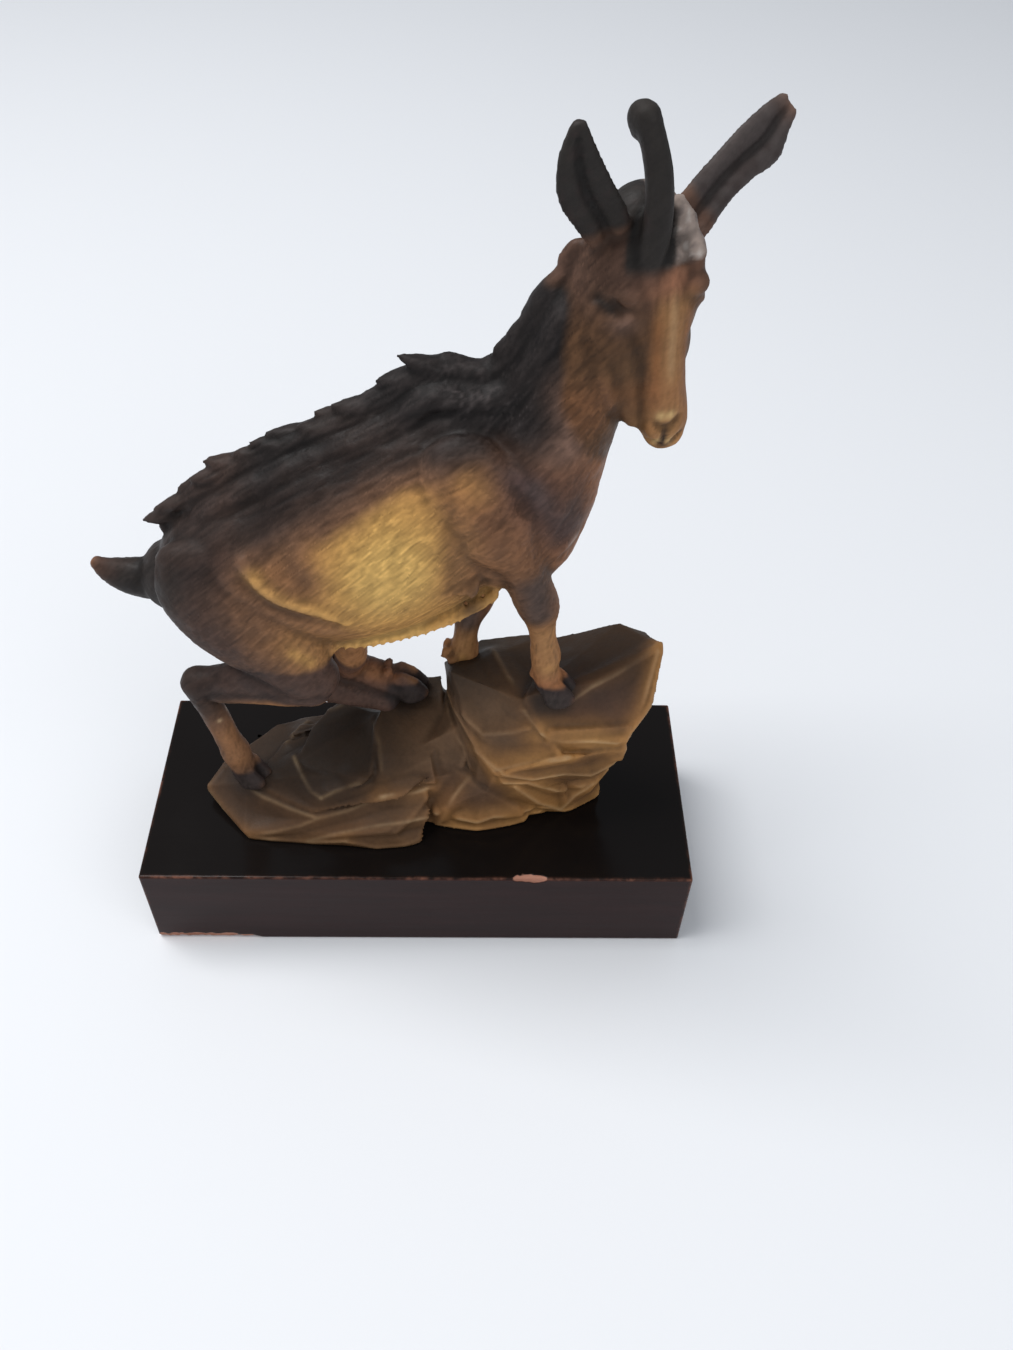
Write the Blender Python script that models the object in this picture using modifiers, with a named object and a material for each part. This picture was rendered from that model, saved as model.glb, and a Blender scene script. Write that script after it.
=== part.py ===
"""Chamois figurine: one resin casting of a chamois on a rock, glued to a lacquered wooden plinth.

Frame: X runs along the plinth towards the animal's head, Y away from its right flank, Z up.
The origin is the middle of the plinth's underside. Lengths are in metres.
"""
import math

import bmesh
import bpy
import numpy as np

# Driving dimensions
PLINTH_LENGTH = 0.120
PLINTH_DEPTH = 0.051
PLINTH_HEIGHT = 0.025
PLINTH_EDGE = 0.0005
SEAT_GAP = 0.0003

ROCK_LENGTH = 0.096
ROCK_DEPTH = 0.035
ROCK_HEIGHT = 0.046

BODY_LENGTH = 0.080
BODY_WIDTH = 0.032
BODY_DEPTH = 0.040
BODY_PITCH = math.radians(20)
BODY_LIFT = 0.0645
RUMP_OVERHANG = 0.001

NECK_LENGTH = 0.046
NECK_WIDTH = 0.021
NECK_PITCH = math.radians(69)

HEAD_LENGTH = 0.0325
HEAD_WIDTH = 0.0160
HEAD_TURN = math.radians(52)
HEAD_NOD = math.radians(79)

EAR_LENGTH = 0.0235
EAR_WIDTH = 0.0080
HORN_LENGTH = 0.0238
HORN_WIDTH = 0.0045
HORN_SCAR = 0.0058

TAIL_LENGTH = 0.0150
TAIL_WIDTH = 0.0086
LEG_WIDTH = 0.0078
HOOF_WIDTH = 0.0070
CREST_LENGTH = 0.0066
FRINGE_LENGTH = 0.0030

SKIN_VOXEL = 0.00062
CASTING_SHARE = 0.055

COLOURS = {
    "plinth": ((0.030, 0.011, 0.010, 1.0), 0.22),
    "casting": ((0.20, 0.115, 0.055, 1.0), 0.42),
}


def clear_scene():
    """Remove every object of the open scene."""
    for item in list(bpy.data.objects):
        bpy.data.objects.remove(item, do_unlink=True)


def new_collection(name):
    """Make a collection in the scene."""
    group = bpy.data.collections.new(name)
    bpy.context.scene.collection.children.link(group)
    return group


def new_material(name, colour, roughness):
    """Make a Principled material of one colour."""
    made = bpy.data.materials.new(name)
    made.use_nodes = True
    shader = made.node_tree.nodes["Principled BSDF"]
    shader.inputs["Base Color"].default_value = colour
    shader.inputs["Roughness"].default_value = roughness
    shader.inputs["Metallic"].default_value = 0.0
    return made


def unit(vector):
    """Return the vector at length one."""
    vector = np.asarray(vector, dtype=float)
    return vector / np.linalg.norm(vector)


class Axes:
    """A local frame of the animal: an origin and three directions."""

    def __init__(self, origin, first, second, third):
        self.origin = np.asarray(origin, dtype=float)
        self.rows = np.array([unit(first), unit(second), unit(third)])

    def at(self, first, second, third):
        """Return the point at these distances along the three directions."""
        return self.origin + np.array([first, second, third]) @ self.rows

    def along(self, first, second, third):
        """Return the direction with these parts."""
        return unit(np.array([first, second, third]) @ self.rows)


def spline(rows, steps):
    """Run a smooth curve through the rows, each a centre and its half sizes."""
    rows = np.asarray(rows, dtype=float)
    ends = np.vstack([2 * rows[0] - rows[1], rows, 2 * rows[-1] - rows[-2]])
    share = np.arange(steps)[:, None] / steps
    parts = []
    for a, b, c, d in zip(ends, ends[1:], ends[2:], ends[3:]):
        bend = 2 * a - 5 * b + 4 * c - d
        twist = 3 * b - a - 3 * c + d
        parts.append(0.5 * (2 * b + (c - a) * share + bend * share**2 + twist * share**3))
    parts.append(rows[-1:])
    return np.vstack(parts)


def round_ends(path):
    """Add shrinking sections past both ends of a path, so that it closes like a thumb."""
    share = np.array([0.45, 0.75, 0.93])
    caps = []
    for end, inner in ((path[0], path[1]), (path[-1], path[-2])):
        reach = min(end[3], end[4]) * unit(end[:3] - inner[:3])
        cap = np.zeros((3, 5))
        cap[:, :3] = end[:3] + share[:, None] * reach
        cap[:, 3:] = end[3:] * np.sqrt(1 - share**2)[:, None]
        caps.append(cap)
    return np.vstack([caps[0][::-1], path, caps[1]])


def limb(rows, side, sides=18, steps=4, square=2.0):
    """Loft a closed limb: each row is a centre, a half width along side and a half height."""
    path = spline(rows, steps)
    path[:, 3:] = np.maximum(path[:, 3:], 1e-4)
    path = round_ends(path)
    ahead = np.gradient(path[:, :3], axis=0)
    ahead /= np.linalg.norm(ahead, axis=1)[:, None]
    across = unit(side) - (ahead @ unit(side))[:, None] * ahead
    across /= np.linalg.norm(across, axis=1)[:, None]
    up = np.cross(ahead, across)
    turn = np.linspace(0, 2 * math.pi, sides, endpoint=False)
    cosine = np.sign(np.cos(turn)) * np.abs(np.cos(turn)) ** (2 / square)
    sine = np.sign(np.sin(turn)) * np.abs(np.sin(turn)) ** (2 / square)
    rings = (
        path[:, None, :3]
        + (path[:, 3, None] * cosine)[:, :, None] * across[:, None, :]
        + (path[:, 4, None] * sine)[:, :, None] * up[:, None, :]
    )
    count = len(path)
    points = rings.reshape(-1, 3).tolist()
    faces = []
    for row in range(count - 1):
        for k in range(sides):
            n = (k + 1) % sides
            start = row * sides
            faces.append((start + k, start + n, start + sides + n, start + sides + k))
    last = (count - 1) * sides
    faces.append(tuple(range(sides - 1, -1, -1)))
    faces.append(tuple(range(last, last + sides)))
    return points, faces


def ball(centre, radii, axes, sides=16):
    """Loft a closed egg with half sizes along the three directions of a frame."""
    centre = np.asarray(centre, dtype=float)
    share = np.array([-0.7, 0.0, 0.7])
    rows = np.zeros((3, 5))
    rows[:, :3] = centre + np.outer(share * radii[0], axes.rows[0])
    rows[:, 3] = radii[1] * np.sqrt(1 - share**2)
    rows[:, 4] = radii[2] * np.sqrt(1 - share**2)
    return limb(rows, axes.rows[1], sides, 4)


class Clay:
    """The closed forms that are fused into one casting."""

    def __init__(self):
        self.mesh = bmesh.new()

    def add(self, form):
        """Add a lofted form."""
        points, faces = form
        made = [self.mesh.verts.new(point) for point in points]
        for face in faces:
            self.mesh.faces.new([made[k] for k in face])

    def add_block(self, corners):
        """Add the stone block that spans its corners."""
        block = bmesh.new()
        for corner in corners:
            block.verts.new(corner)
        found = bmesh.ops.convex_hull(block, input=block.verts)
        spare = [item for item in found["geom_interior"] if isinstance(item, bmesh.types.BMVert)]
        bmesh.ops.delete(block, geom=spare, context="VERTS")
        bmesh.ops.recalc_face_normals(block, faces=block.faces)
        block.verts.index_update()
        points = [tuple(vert.co) for vert in block.verts]
        faces = [tuple(vert.index for vert in face.verts) for face in block.faces]
        block.free()
        self.add((points, faces))

    def finish(self, name, group):
        """Turn the forms into an object."""
        bmesh.ops.recalc_face_normals(self.mesh, faces=self.mesh.faces)
        data = bpy.data.meshes.new(name)
        self.mesh.to_mesh(data)
        self.mesh.free()
        item = bpy.data.objects.new(name, data)
        group.objects.link(item)
        return item


def rock_point(along, across, up):
    """Place a point of the rock by its shares of the rock's length, depth and height."""
    return np.array([
        along * ROCK_LENGTH / 2,
        across * ROCK_DEPTH / 2,
        PLINTH_HEIGHT + SEAT_GAP + up * ROCK_HEIGHT,
    ])


def body_axes():
    """Return the trunk's frame: along the back, away from the viewer's side, and up from it."""
    ahead = (math.cos(BODY_PITCH), 0, math.sin(BODY_PITCH))
    above = (-math.sin(BODY_PITCH), 0, math.cos(BODY_PITCH))
    start = (-ROCK_LENGTH / 2 + RUMP_OVERHANG, 0, PLINTH_HEIGHT + BODY_LIFT)
    return Axes(start, ahead, (0, 1, 0), above)


def neck_axes():
    """Return the neck's frame, which starts inside the chest."""
    body = body_axes()
    start = body.at(0.86 * BODY_LENGTH, 0, -0.02 * BODY_DEPTH)
    ahead = (math.cos(NECK_PITCH), -0.02, math.sin(NECK_PITCH))
    return Axes(start, ahead, (0, 1, 0), np.cross(ahead, (0, 1, 0)))


def head_axes():
    """Return the head's frame: down the muzzle, out of the forehead, and to its right."""
    neck = neck_axes()
    centre = neck.at(0.985 * NECK_LENGTH, 0, 0) + NECK_WIDTH * np.array([0.171, 0.057, 0.048])
    face = np.array([math.cos(HEAD_TURN), -math.sin(HEAD_TURN), 0.0])
    down = np.array([0, 0, -1.0])
    muzzle = math.sin(HEAD_NOD) * down + math.cos(HEAD_NOD) * face
    front = math.sin(HEAD_NOD) * face - math.cos(HEAD_NOD) * down
    return Axes(centre, muzzle, front, np.cross(muzzle, front))


def add_trunk(clay):
    """Add the barrel of the body, from the rump to the breast."""
    body = body_axes()
    rows = []
    for along, wide, above, below in (
        (0.04, 0.46, 0.34, 0.40),
        (0.11, 0.72, 0.58, 0.62),
        (0.22, 0.88, 0.76, 0.78),
        (0.35, 0.97, 0.87, 1.10),
        (0.48, 1.00, 0.96, 1.19),
        (0.61, 0.97, 1.02, 1.08),
        (0.74, 0.90, 1.08, 0.86),
        (0.86, 0.76, 0.90, 0.82),
        (0.945, 0.52, 0.46, 0.68),
    ):
        centre = body.at(along * BODY_LENGTH, 0, (above - below) * BODY_DEPTH / 4)
        rows.append((*centre, wide * BODY_WIDTH / 2, (above + below) * BODY_DEPTH / 4))
    clay.add(limb(rows, body.rows[1], 28))
    withers = body.at(0.80 * BODY_LENGTH, 0, 0.40 * BODY_DEPTH)
    clay.add(ball(withers, (0.20 * BODY_LENGTH, 0.26 * BODY_WIDTH, 0.16 * BODY_DEPTH), body))


def add_neck(clay):
    """Add the neck, deep at the breast and narrow behind the ears."""
    neck = neck_axes()
    rows = []
    for along, wide, deep in (
        (-0.16, 1.25, 1.45),
        (0.08, 1.18, 1.34),
        (0.32, 1.02, 1.10),
        (0.56, 0.88, 0.92),
        (0.80, 0.76, 0.82),
        (1.00, 0.70, 0.80),
    ):
        centre = neck.at(along * NECK_LENGTH, 0, -0.025 * NECK_WIDTH)
        rows.append((*centre, wide * NECK_WIDTH / 2, deep * NECK_WIDTH / 2))
    clay.add(limb(rows, neck.rows[1], 24))


def add_head(clay):
    """Add the skull with its straight bridge, cheeks, brows, eyes, lips and nostrils."""
    head = head_axes()
    length = HEAD_LENGTH
    half = HEAD_WIDTH / 2
    rows = []
    for along, wide, front, back in (
        (-0.17, 0.62, 0.66, 0.62),
        (-0.04, 0.95, 0.93, 0.92),
        (0.10, 1.00, 0.98, 1.02),
        (0.24, 0.92, 0.94, 1.10),
        (0.40, 0.74, 0.84, 1.06),
        (0.56, 0.60, 0.76, 0.72),
        (0.70, 0.54, 0.70, 0.38),
        (0.82, 0.54, 0.60, 0.30),
        (0.88, 0.44, 0.44, 0.26),
    ):
        centre = head.at(along * length, (front - back) * half / 2, 0)
        rows.append((*centre, wide * half, (front + back) * half / 2))
    clay.add(limb(rows, head.rows[2], 24, 4, 2.3))
    for way in (-1, 1):
        brow = head.at(0.17 * length, 0.52 * half, way * 0.66 * half)
        clay.add(ball(brow, (0.22 * half, 0.42 * half, 0.28 * half), head, 12))
        eye = head.at(0.255 * length, 0.42 * half, way * 0.76 * half)
        clay.add(ball(eye, (0.15 * half, 0.24 * half, 0.15 * half), head, 12))
        cheek = head.at(0.36 * length, -0.30 * half, way * 0.52 * half)
        clay.add(ball(cheek, (0.75 * half, 0.60 * half, 0.34 * half), head, 14))
        wing = head.at(0.835 * length, 0.50 * half, way * 0.30 * half)
        clay.add(ball(wing, (0.20 * half, 0.18 * half, 0.18 * half), head, 12))
    chin = head.at(0.83 * length, -0.16 * half, 0)
    clay.add(ball(chin, (0.30 * half, 0.24 * half, 0.34 * half), head, 14))


def ear_root(way):
    """Return where an ear leaves the skull; way is 1 on the animal's right."""
    return head_axes().at(-0.10 * HEAD_LENGTH, -0.10 * HEAD_WIDTH, way * 0.44 * HEAD_WIDTH)


def add_ear(clay, way, lift, outward, forward, facing, reach, breadth, outline):
    """Add a leaf-shaped ear with a hollow front.

    Each row of the outline has its share of the way up, its width and its shift to one side.
    """
    head = head_axes()
    root = ear_root(way)
    tip_way = head.along(-lift, forward, way * outward)
    opening = head.along(-0.30, 0.70, way * facing)
    side = unit(np.cross(tip_way, opening))
    opening = unit(np.cross(side, tip_way))
    length = reach * EAR_LENGTH
    width = breadth * EAR_WIDTH
    for rim, share in ((-1, 0.42), (0, 0.46), (1, 0.42)):
        rows = []
        for along, wide, shift in outline:
            centre = root + along * length * tip_way + (shift + 0.30 * rim * wide) * width * side
            centre = centre + abs(rim) * wide * 0.13 * width * opening
            rows.append((*centre, share * 0.55 * wide * width, 0.11 * EAR_WIDTH))
        clay.add(limb(rows, side, 14))


def add_ears(clay):
    """Add the upright right ear and the longer left ear, which has a lobe on its lower edge."""
    right = (
        (-0.10, 0.22, 0.0),
        (0.06, 0.42, 0.0),
        (0.25, 0.80, 0.0),
        (0.50, 1.00, 0.0),
        (0.75, 0.78, 0.0),
        (0.94, 0.30, 0.0),
    )
    left = (
        (-0.10, 0.50, 0.0),
        (0.08, 0.66, 0.0),
        (0.30, 0.80, 0.02),
        (0.52, 0.90, 0.04),
        (0.70, 1.00, 0.08),
        (0.84, 0.74, 0.0),
        (0.95, 0.52, -0.03),
    )
    add_ear(clay, 1, 0.88, 0.50, 0.24, 0.65, 1.0, 1.0, right)
    add_ear(clay, -1, 0.80, 1.20, 0.28, 0.05, 1.02, 0.96, left)


def add_horn(clay):
    """Add the horn that is left: it rises from the forehead and hooks back to a blunt end."""
    head = head_axes()
    root = head.at(-0.02 * HEAD_LENGTH, 0.34 * HEAD_WIDTH, 0.15 * HEAD_WIDTH)
    rise = unit(-head.rows[0] + 0.06 * head.rows[1] + 0.13 * head.rows[2])
    back = unit(-head.rows[1] + 0.05 * head.rows[2])
    bend = 0.40 * HORN_WIDTH
    rows = []
    for along, wide in ((-0.16, 1.30), (0.0, 1.14), (0.25, 1.0), (0.55, 0.94), (0.82, 0.90)):
        centre = root + along * HORN_LENGTH * rise + 0.04 * HORN_LENGTH * along * back
        rows.append((*centre, wide * HORN_WIDTH / 2, wide * HORN_WIDTH / 2))
    top = rows[-1][:3]
    for angle, wide in ((60, 0.90), (120, 0.88), (180, 0.84)):
        turn = math.radians(angle)
        centre = top + bend * (math.sin(turn) * rise + (1 - math.cos(turn)) * back)
        rows.append((*centre, wide * HORN_WIDTH / 2, wide * HORN_WIDTH / 2))
    centre = top + 2.0 * bend * back - 0.50 * HORN_WIDTH * rise
    rows.append((*centre, 0.34 * HORN_WIDTH, 0.34 * HORN_WIDTH))
    clay.add(limb(rows, head.rows[2], 16))
    crook = top + bend * back
    clay.add(ball(crook, (0.40 * HORN_WIDTH, 0.40 * HORN_WIDTH, 0.36 * HORN_WIDTH), head, 12))


def add_horn_scar(clay):
    """Add the rough low stump where the left horn has broken off."""
    head = head_axes()
    root = head.at(-0.05 * HEAD_LENGTH, 0.33 * HEAD_WIDTH, -0.17 * HEAD_WIDTH)
    lumps = ((0.0, 0.0, 1.0), (-0.35, 0.10, 0.7), (0.30, -0.08, 0.6), (0.05, 0.22, 0.5))
    for down, right, size in lumps:
        centre = root + HORN_SCAR * (down * head.rows[0] + right * head.rows[2])
        radii = (0.46 * size * HORN_SCAR, 0.26 * HORN_SCAR, 0.40 * size * HORN_SCAR)
        clay.add(ball(centre, radii, head, 8))


def add_leg(clay, root, hoof, rows, side=(0, 1, 0)):
    """Add a leg from its root in the body down to its hoof.

    Each row has its share of the way up, its offsets forward and to the far side, and its half
    widths to the side and to the front, all in leg widths.
    """
    root = np.asarray(root)
    hoof = np.asarray(hoof)
    path = []
    for up, forward, away, wide, deep in rows:
        centre = hoof + up * (root - hoof)
        centre = centre + LEG_WIDTH * np.array([forward, away, 0])
        path.append((*centre, wide * LEG_WIDTH / 2, deep * LEG_WIDTH / 2))
    clay.add(limb(path, side, 18))


def add_hoof(clay, foot, ahead):
    """Add a cloven hoof, two toes side by side, with two dew claws behind."""
    ahead = unit(ahead)
    across = unit(np.cross((0, 0, 1), ahead))
    for way in (-1, 1):
        start = foot + way * 0.20 * HOOF_WIDTH * across
        rows = []
        for forward, up, wide, deep in (
            (-0.22, 0.62, 0.22, 0.30),
            (0.05, 0.30, 0.27, 0.42),
            (0.22, -0.10, 0.30, 0.50),
        ):
            centre = start + HOOF_WIDTH * (forward * ahead + np.array([0, 0, up]))
            rows.append((*centre, wide * HOOF_WIDTH, deep * HOOF_WIDTH))
        clay.add(limb(rows, across, 12, 3))
        rows = []
        for back, up, thick in ((0.52, 0.95, 0.13), (0.58, 0.73, 0.10)):
            centre = foot + HOOF_WIDTH * (way * 0.18 * across - back * ahead + np.array([0, 0, up]))
            rows.append((*centre, thick * HOOF_WIDTH, thick * HOOF_WIDTH))
        clay.add(limb(rows, across, 8, 2))


def hoof_places():
    """Return where the four hooves stand on the rock."""
    return {
        "near_fore": rock_point(0.575, -0.43, 0.890),
        "far_fore": rock_point(0.200, 0.35, 0.705),
        "near_hind": rock_point(-0.790, -0.28, 0.215),
        "far_hind": rock_point(-0.060, 0.40, 0.555),
    }


def add_forelegs(clay):
    """Add both forelegs, braced high on the rock."""
    body = body_axes()
    place = hoof_places()
    near = body.at(0.82 * BODY_LENGTH, -0.28 * BODY_WIDTH, 0.16 * BODY_DEPTH)
    rows = (
        (1.00, 0.0, 0.0, 1.00, 1.55),
        (0.87, 0.05, -0.16, 1.35, 2.20),
        (0.73, 0.34, -0.14, 1.14, 1.16),
        (0.60, 0.37, -0.10, 1.00, 1.04),
        (0.48, 0.40, -0.04, 0.95, 1.04),
        (0.39, 0.33, 0.0, 0.70, 0.74),
        (0.30, 0.24, 0.0, 0.62, 0.64),
        (0.21, 0.15, 0.0, 0.74, 0.76),
        (0.14, 0.05, 0.0, 0.66, 0.68),
        (0.05, 0.0, 0.0, 0.70, 0.74),
    )
    add_leg(clay, near, place["near_fore"], rows)
    far = body.at(0.80 * BODY_LENGTH, 0.28 * BODY_WIDTH, 0.16 * BODY_DEPTH)
    rows = (
        (1.00, 0.0, 0.0, 1.00, 1.50),
        (0.86, 0.0, 0.12, 1.28, 1.90),
        (0.68, -0.02, 0.06, 1.14, 1.30),
        (0.50, 0.20, 0.04, 1.02, 1.25),
        (0.36, 0.24, 0.02, 1.00, 1.10),
        (0.25, 0.08, 0.0, 0.70, 0.74),
        (0.17, 0.02, 0.0, 0.62, 0.64),
        (0.11, 0.0, 0.0, 0.74, 0.76),
        (0.05, 0.0, 0.0, 0.70, 0.74),
    )
    add_leg(clay, far, place["far_fore"], rows)
    add_hoof(clay, place["near_fore"], (1, -0.25, 0))
    add_hoof(clay, place["far_fore"], (0.9, -0.1, 0))


def add_hind_legs(clay):
    """Add both hind legs, folded at the stifle and hock."""
    body = body_axes()
    place = hoof_places()
    hip = body.at(0.20 * BODY_LENGTH, -0.20 * BODY_WIDTH, 0.16 * BODY_DEPTH)
    knee = body.at(0.245 * BODY_LENGTH, -0.32 * BODY_WIDTH, -0.58 * BODY_DEPTH)
    thigh = []
    for down, back, wide, deep in (
        (0.0, 0.0, 1.15, 2.2),
        (0.25, 0.25, 1.55, 2.9),
        (0.50, 0.15, 1.70, 3.0),
        (0.75, 0.00, 1.50, 2.4),
        (1.0, 0.0, 1.20, 1.55),
    ):
        centre = hip + down * (knee - hip) - LEG_WIDTH * np.array([back, 0.12, 0])
        thigh.append((*centre, wide * LEG_WIDTH / 2, deep * LEG_WIDTH / 2))
    clay.add(limb(thigh, (0, 1, 0), 22))
    foot = place["near_hind"]
    hock = foot + np.array([-0.66, -0.36, 4.20]) * LEG_WIDTH
    add_shank(clay, knee, hock, foot)
    add_hoof(clay, foot, (1, -0.35, 0))

    hip = body.at(0.22 * BODY_LENGTH, 0.20 * BODY_WIDTH, 0.14 * BODY_DEPTH)
    foot = place["far_hind"]
    knee = foot + np.array([-1.45, 0.30, 2.60]) * LEG_WIDTH
    thigh = []
    for down, wide, deep in ((0.0, 1.1, 2.1), (0.35, 1.5, 2.7), (0.7, 1.35, 2.0), (1.0, 1.1, 1.3)):
        centre = hip + down * (knee - hip) + LEG_WIDTH * np.array([0, 0.12, 0])
        thigh.append((*centre, wide * LEG_WIDTH / 2, deep * LEG_WIDTH / 2))
    clay.add(limb(thigh, (0, 1, 0), 20))
    hock = foot + np.array([-2.80, 0.25, 1.15]) * LEG_WIDTH
    rows = []
    for share, wide in ((0.0, 1.05), (0.5, 0.92), (1.0, 0.90)):
        rows.append((*(knee + share * (hock - knee)), wide * LEG_WIDTH / 2, wide * LEG_WIDTH / 2))
    clay.add(limb(rows, (0, 1, 0), 16))
    rows = []
    for share, lift, wide in (
        (0.0, 0.0, 0.92),
        (0.30, 0.04, 0.86),
        (0.60, 0.12, 0.84),
        (0.82, 0.14, 0.90),
        (0.98, 0.10, 0.80),
    ):
        centre = hock + share * (foot - hock) + LEG_WIDTH * np.array([0, 0, lift])
        rows.append((*centre, wide * LEG_WIDTH / 2, wide * LEG_WIDTH / 2))
    clay.add(limb(rows, (0, 1, 0), 16))
    add_hoof(clay, foot, (1, 0, 0))


def add_shank(clay, knee, hock, foot):
    """Add the near shank from the knee back to the hock, and the cannon down to the hoof."""
    rows = []
    for share, wide, deep in (
        (0.0, 1.20, 1.30),
        (0.30, 1.08, 1.14),
        (0.60, 0.88, 0.96),
        (0.85, 0.74, 0.84),
        (1.0, 0.80, 0.92),
    ):
        centre = knee + share * (hock - knee)
        rows.append((*centre, wide * LEG_WIDTH / 2, deep * LEG_WIDTH / 2))
    clay.add(limb(rows, (0, 1, 0), 16))
    rows = []
    for share, forward, wide in (
        (0.0, 0.0, 0.86),
        (0.15, 0.02, 0.74),
        (0.40, 0.0, 0.66),
        (0.62, -0.04, 0.70),
        (0.74, -0.06, 0.82),
        (0.84, 0.02, 0.72),
        (0.97, 0.0, 0.78),
    ):
        centre = hock + share * (foot - hock) + LEG_WIDTH * np.array([forward, 0, 0])
        rows.append((*centre, wide * LEG_WIDTH / 2, wide * LEG_WIDTH / 2))
    clay.add(limb(rows, (0, 1, 0), 16))


def add_tail(clay):
    """Add the short raised tail, which narrows to its tip."""
    body = body_axes()
    rows = []
    for along, up, wide, deep in (
        (-0.35, 0.06, 1.05, 1.20),
        (0.05, -0.02, 0.94, 1.10),
        (0.40, -0.05, 0.86, 1.04),
        (0.70, -0.01, 0.72, 0.88),
        (0.92, 0.08, 0.52, 0.62),
        (1.05, 0.19, 0.30, 0.34),
    ):
        centre = body.at(0.045 * BODY_LENGTH, 0, -0.03 * BODY_DEPTH)
        centre = centre + TAIL_LENGTH * np.array([-along, 0, up])
        rows.append((*centre, wide * TAIL_WIDTH / 2, deep * TAIL_WIDTH / 2))
    clay.add(limb(rows, (0, 1, 0), 16))


def add_lock(clay, root, tip_way, side, length, width, thick):
    """Add one flat pointed lock of hair."""
    rows = []
    for along, wide, deep in ((0.0, 0.55, 0.8), (0.35, 1.0, 1.0), (0.70, 0.8, 0.8), (0.98, 0.25, 0.3)):
        centre = np.asarray(root) + along * length * unit(tip_way)
        rows.append((*centre, wide * width / 2, deep * thick / 2))
    clay.add(limb(rows, side, 10, 2))


def crest_line():
    """Return the line of the crest, from the tail over the withers to the nape."""
    body = body_axes()
    neck = neck_axes()
    points = []
    for along, up in (
        (0.08, 0.25),
        (0.22, 0.380),
        (0.38, 0.450),
        (0.54, 0.495),
        (0.68, 0.535),
        (0.79, 0.590),
    ):
        points.append(body.at(along * BODY_LENGTH, 0, up * BODY_DEPTH))
    for along, back in ((0.42, 0.50), (0.60, 0.37), (0.80, 0.32), (0.98, 0.30)):
        points.append(neck.at(along * NECK_LENGTH, 0, back * NECK_WIDTH))
    return np.array(points)


def add_crest(clay):
    """Add the overlapping locks of the crest, which lie towards the tail."""
    points = crest_line()
    line = spline(np.hstack([points, np.zeros((len(points), 2))]), 8)[:, :3]
    run = np.concatenate([[0], np.cumsum(np.linalg.norm(np.diff(line, axis=0), axis=1))])
    count = int(run[-1] / (0.70 * CREST_LENGTH))
    for k in range(count):
        where = (k + 0.6) / count * run[-1]
        root = np.array([np.interp(where, run, line[:, i]) for i in range(3)])
        back = np.array([np.interp(where - 0.3 * CREST_LENGTH, run, line[:, i]) for i in range(3)])
        ahead = unit(root - back)
        rise = unit(np.cross((0, 1, 0), ahead) * -1)
        size = CREST_LENGTH * (1.05 + 0.14 * math.sin(2.1 * k))
        for row in (-1, 0, 1):
            drop = 0.14 * abs(row) - 0.03
            shift = np.array([0, 0.30 * row, 0]) - drop * rise + 0.30 * (row % 2) * ahead
            tip = -ahead + (0.56 - 0.16 * abs(row)) * rise + np.array([0, 0.10 * row, 0])
            start = root + CREST_LENGTH * (shift + 0.30 * ahead - 0.10 * rise)
            add_lock(clay, start, tip, (0, 1, 0), size, 0.56 * CREST_LENGTH, 0.50 * CREST_LENGTH)


def add_belly_fringe(clay):
    """Add the row of small locks along the belly, from the stifle to the elbow."""
    body = body_axes()
    count = int(0.44 * BODY_LENGTH / (0.68 * FRINGE_LENGTH))
    for k in range(count):
        share = k / (count - 1)
        along = 0.36 + 0.42 * share
        low = 0.575 - 0.065 * (2 * share - 0.8) ** 2
        root = body.at(along * BODY_LENGTH, -0.10 * BODY_WIDTH, -low * BODY_DEPTH)
        width = 0.62 * FRINGE_LENGTH
        add_lock(clay, root, (-0.35, -0.1, -1), (1, 0, 0.35), FRINGE_LENGTH, width, width)


def add_tufts(clay):
    """Add the shaggy locks at the stifle and the elbow, rooted well inside the hide."""
    body = body_axes()
    thick = 0.8 * FRINGE_LENGTH
    for k in range(5):
        along = (0.225 + 0.035 * k) * BODY_LENGTH
        root = body.at(along, (-0.43 + 0.035 * k) * BODY_WIDTH, (-0.49 + 0.02 * k) * BODY_DEPTH)
        add_lock(clay, root, (0.45, -0.15, -1), (1, 0, 0), 2.1 * FRINGE_LENGTH, thick, thick)
    for k in range(3):
        root = body.at((0.70 + 0.02 * k) * BODY_LENGTH, -0.38 * BODY_WIDTH, (-0.22 - 0.02 * k) * BODY_DEPTH)
        add_lock(clay, root, (-0.3, -0.2, -1), (1, 0, 0), 1.3 * FRINGE_LENGTH, 0.75 * thick, 0.75 * thick)


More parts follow.
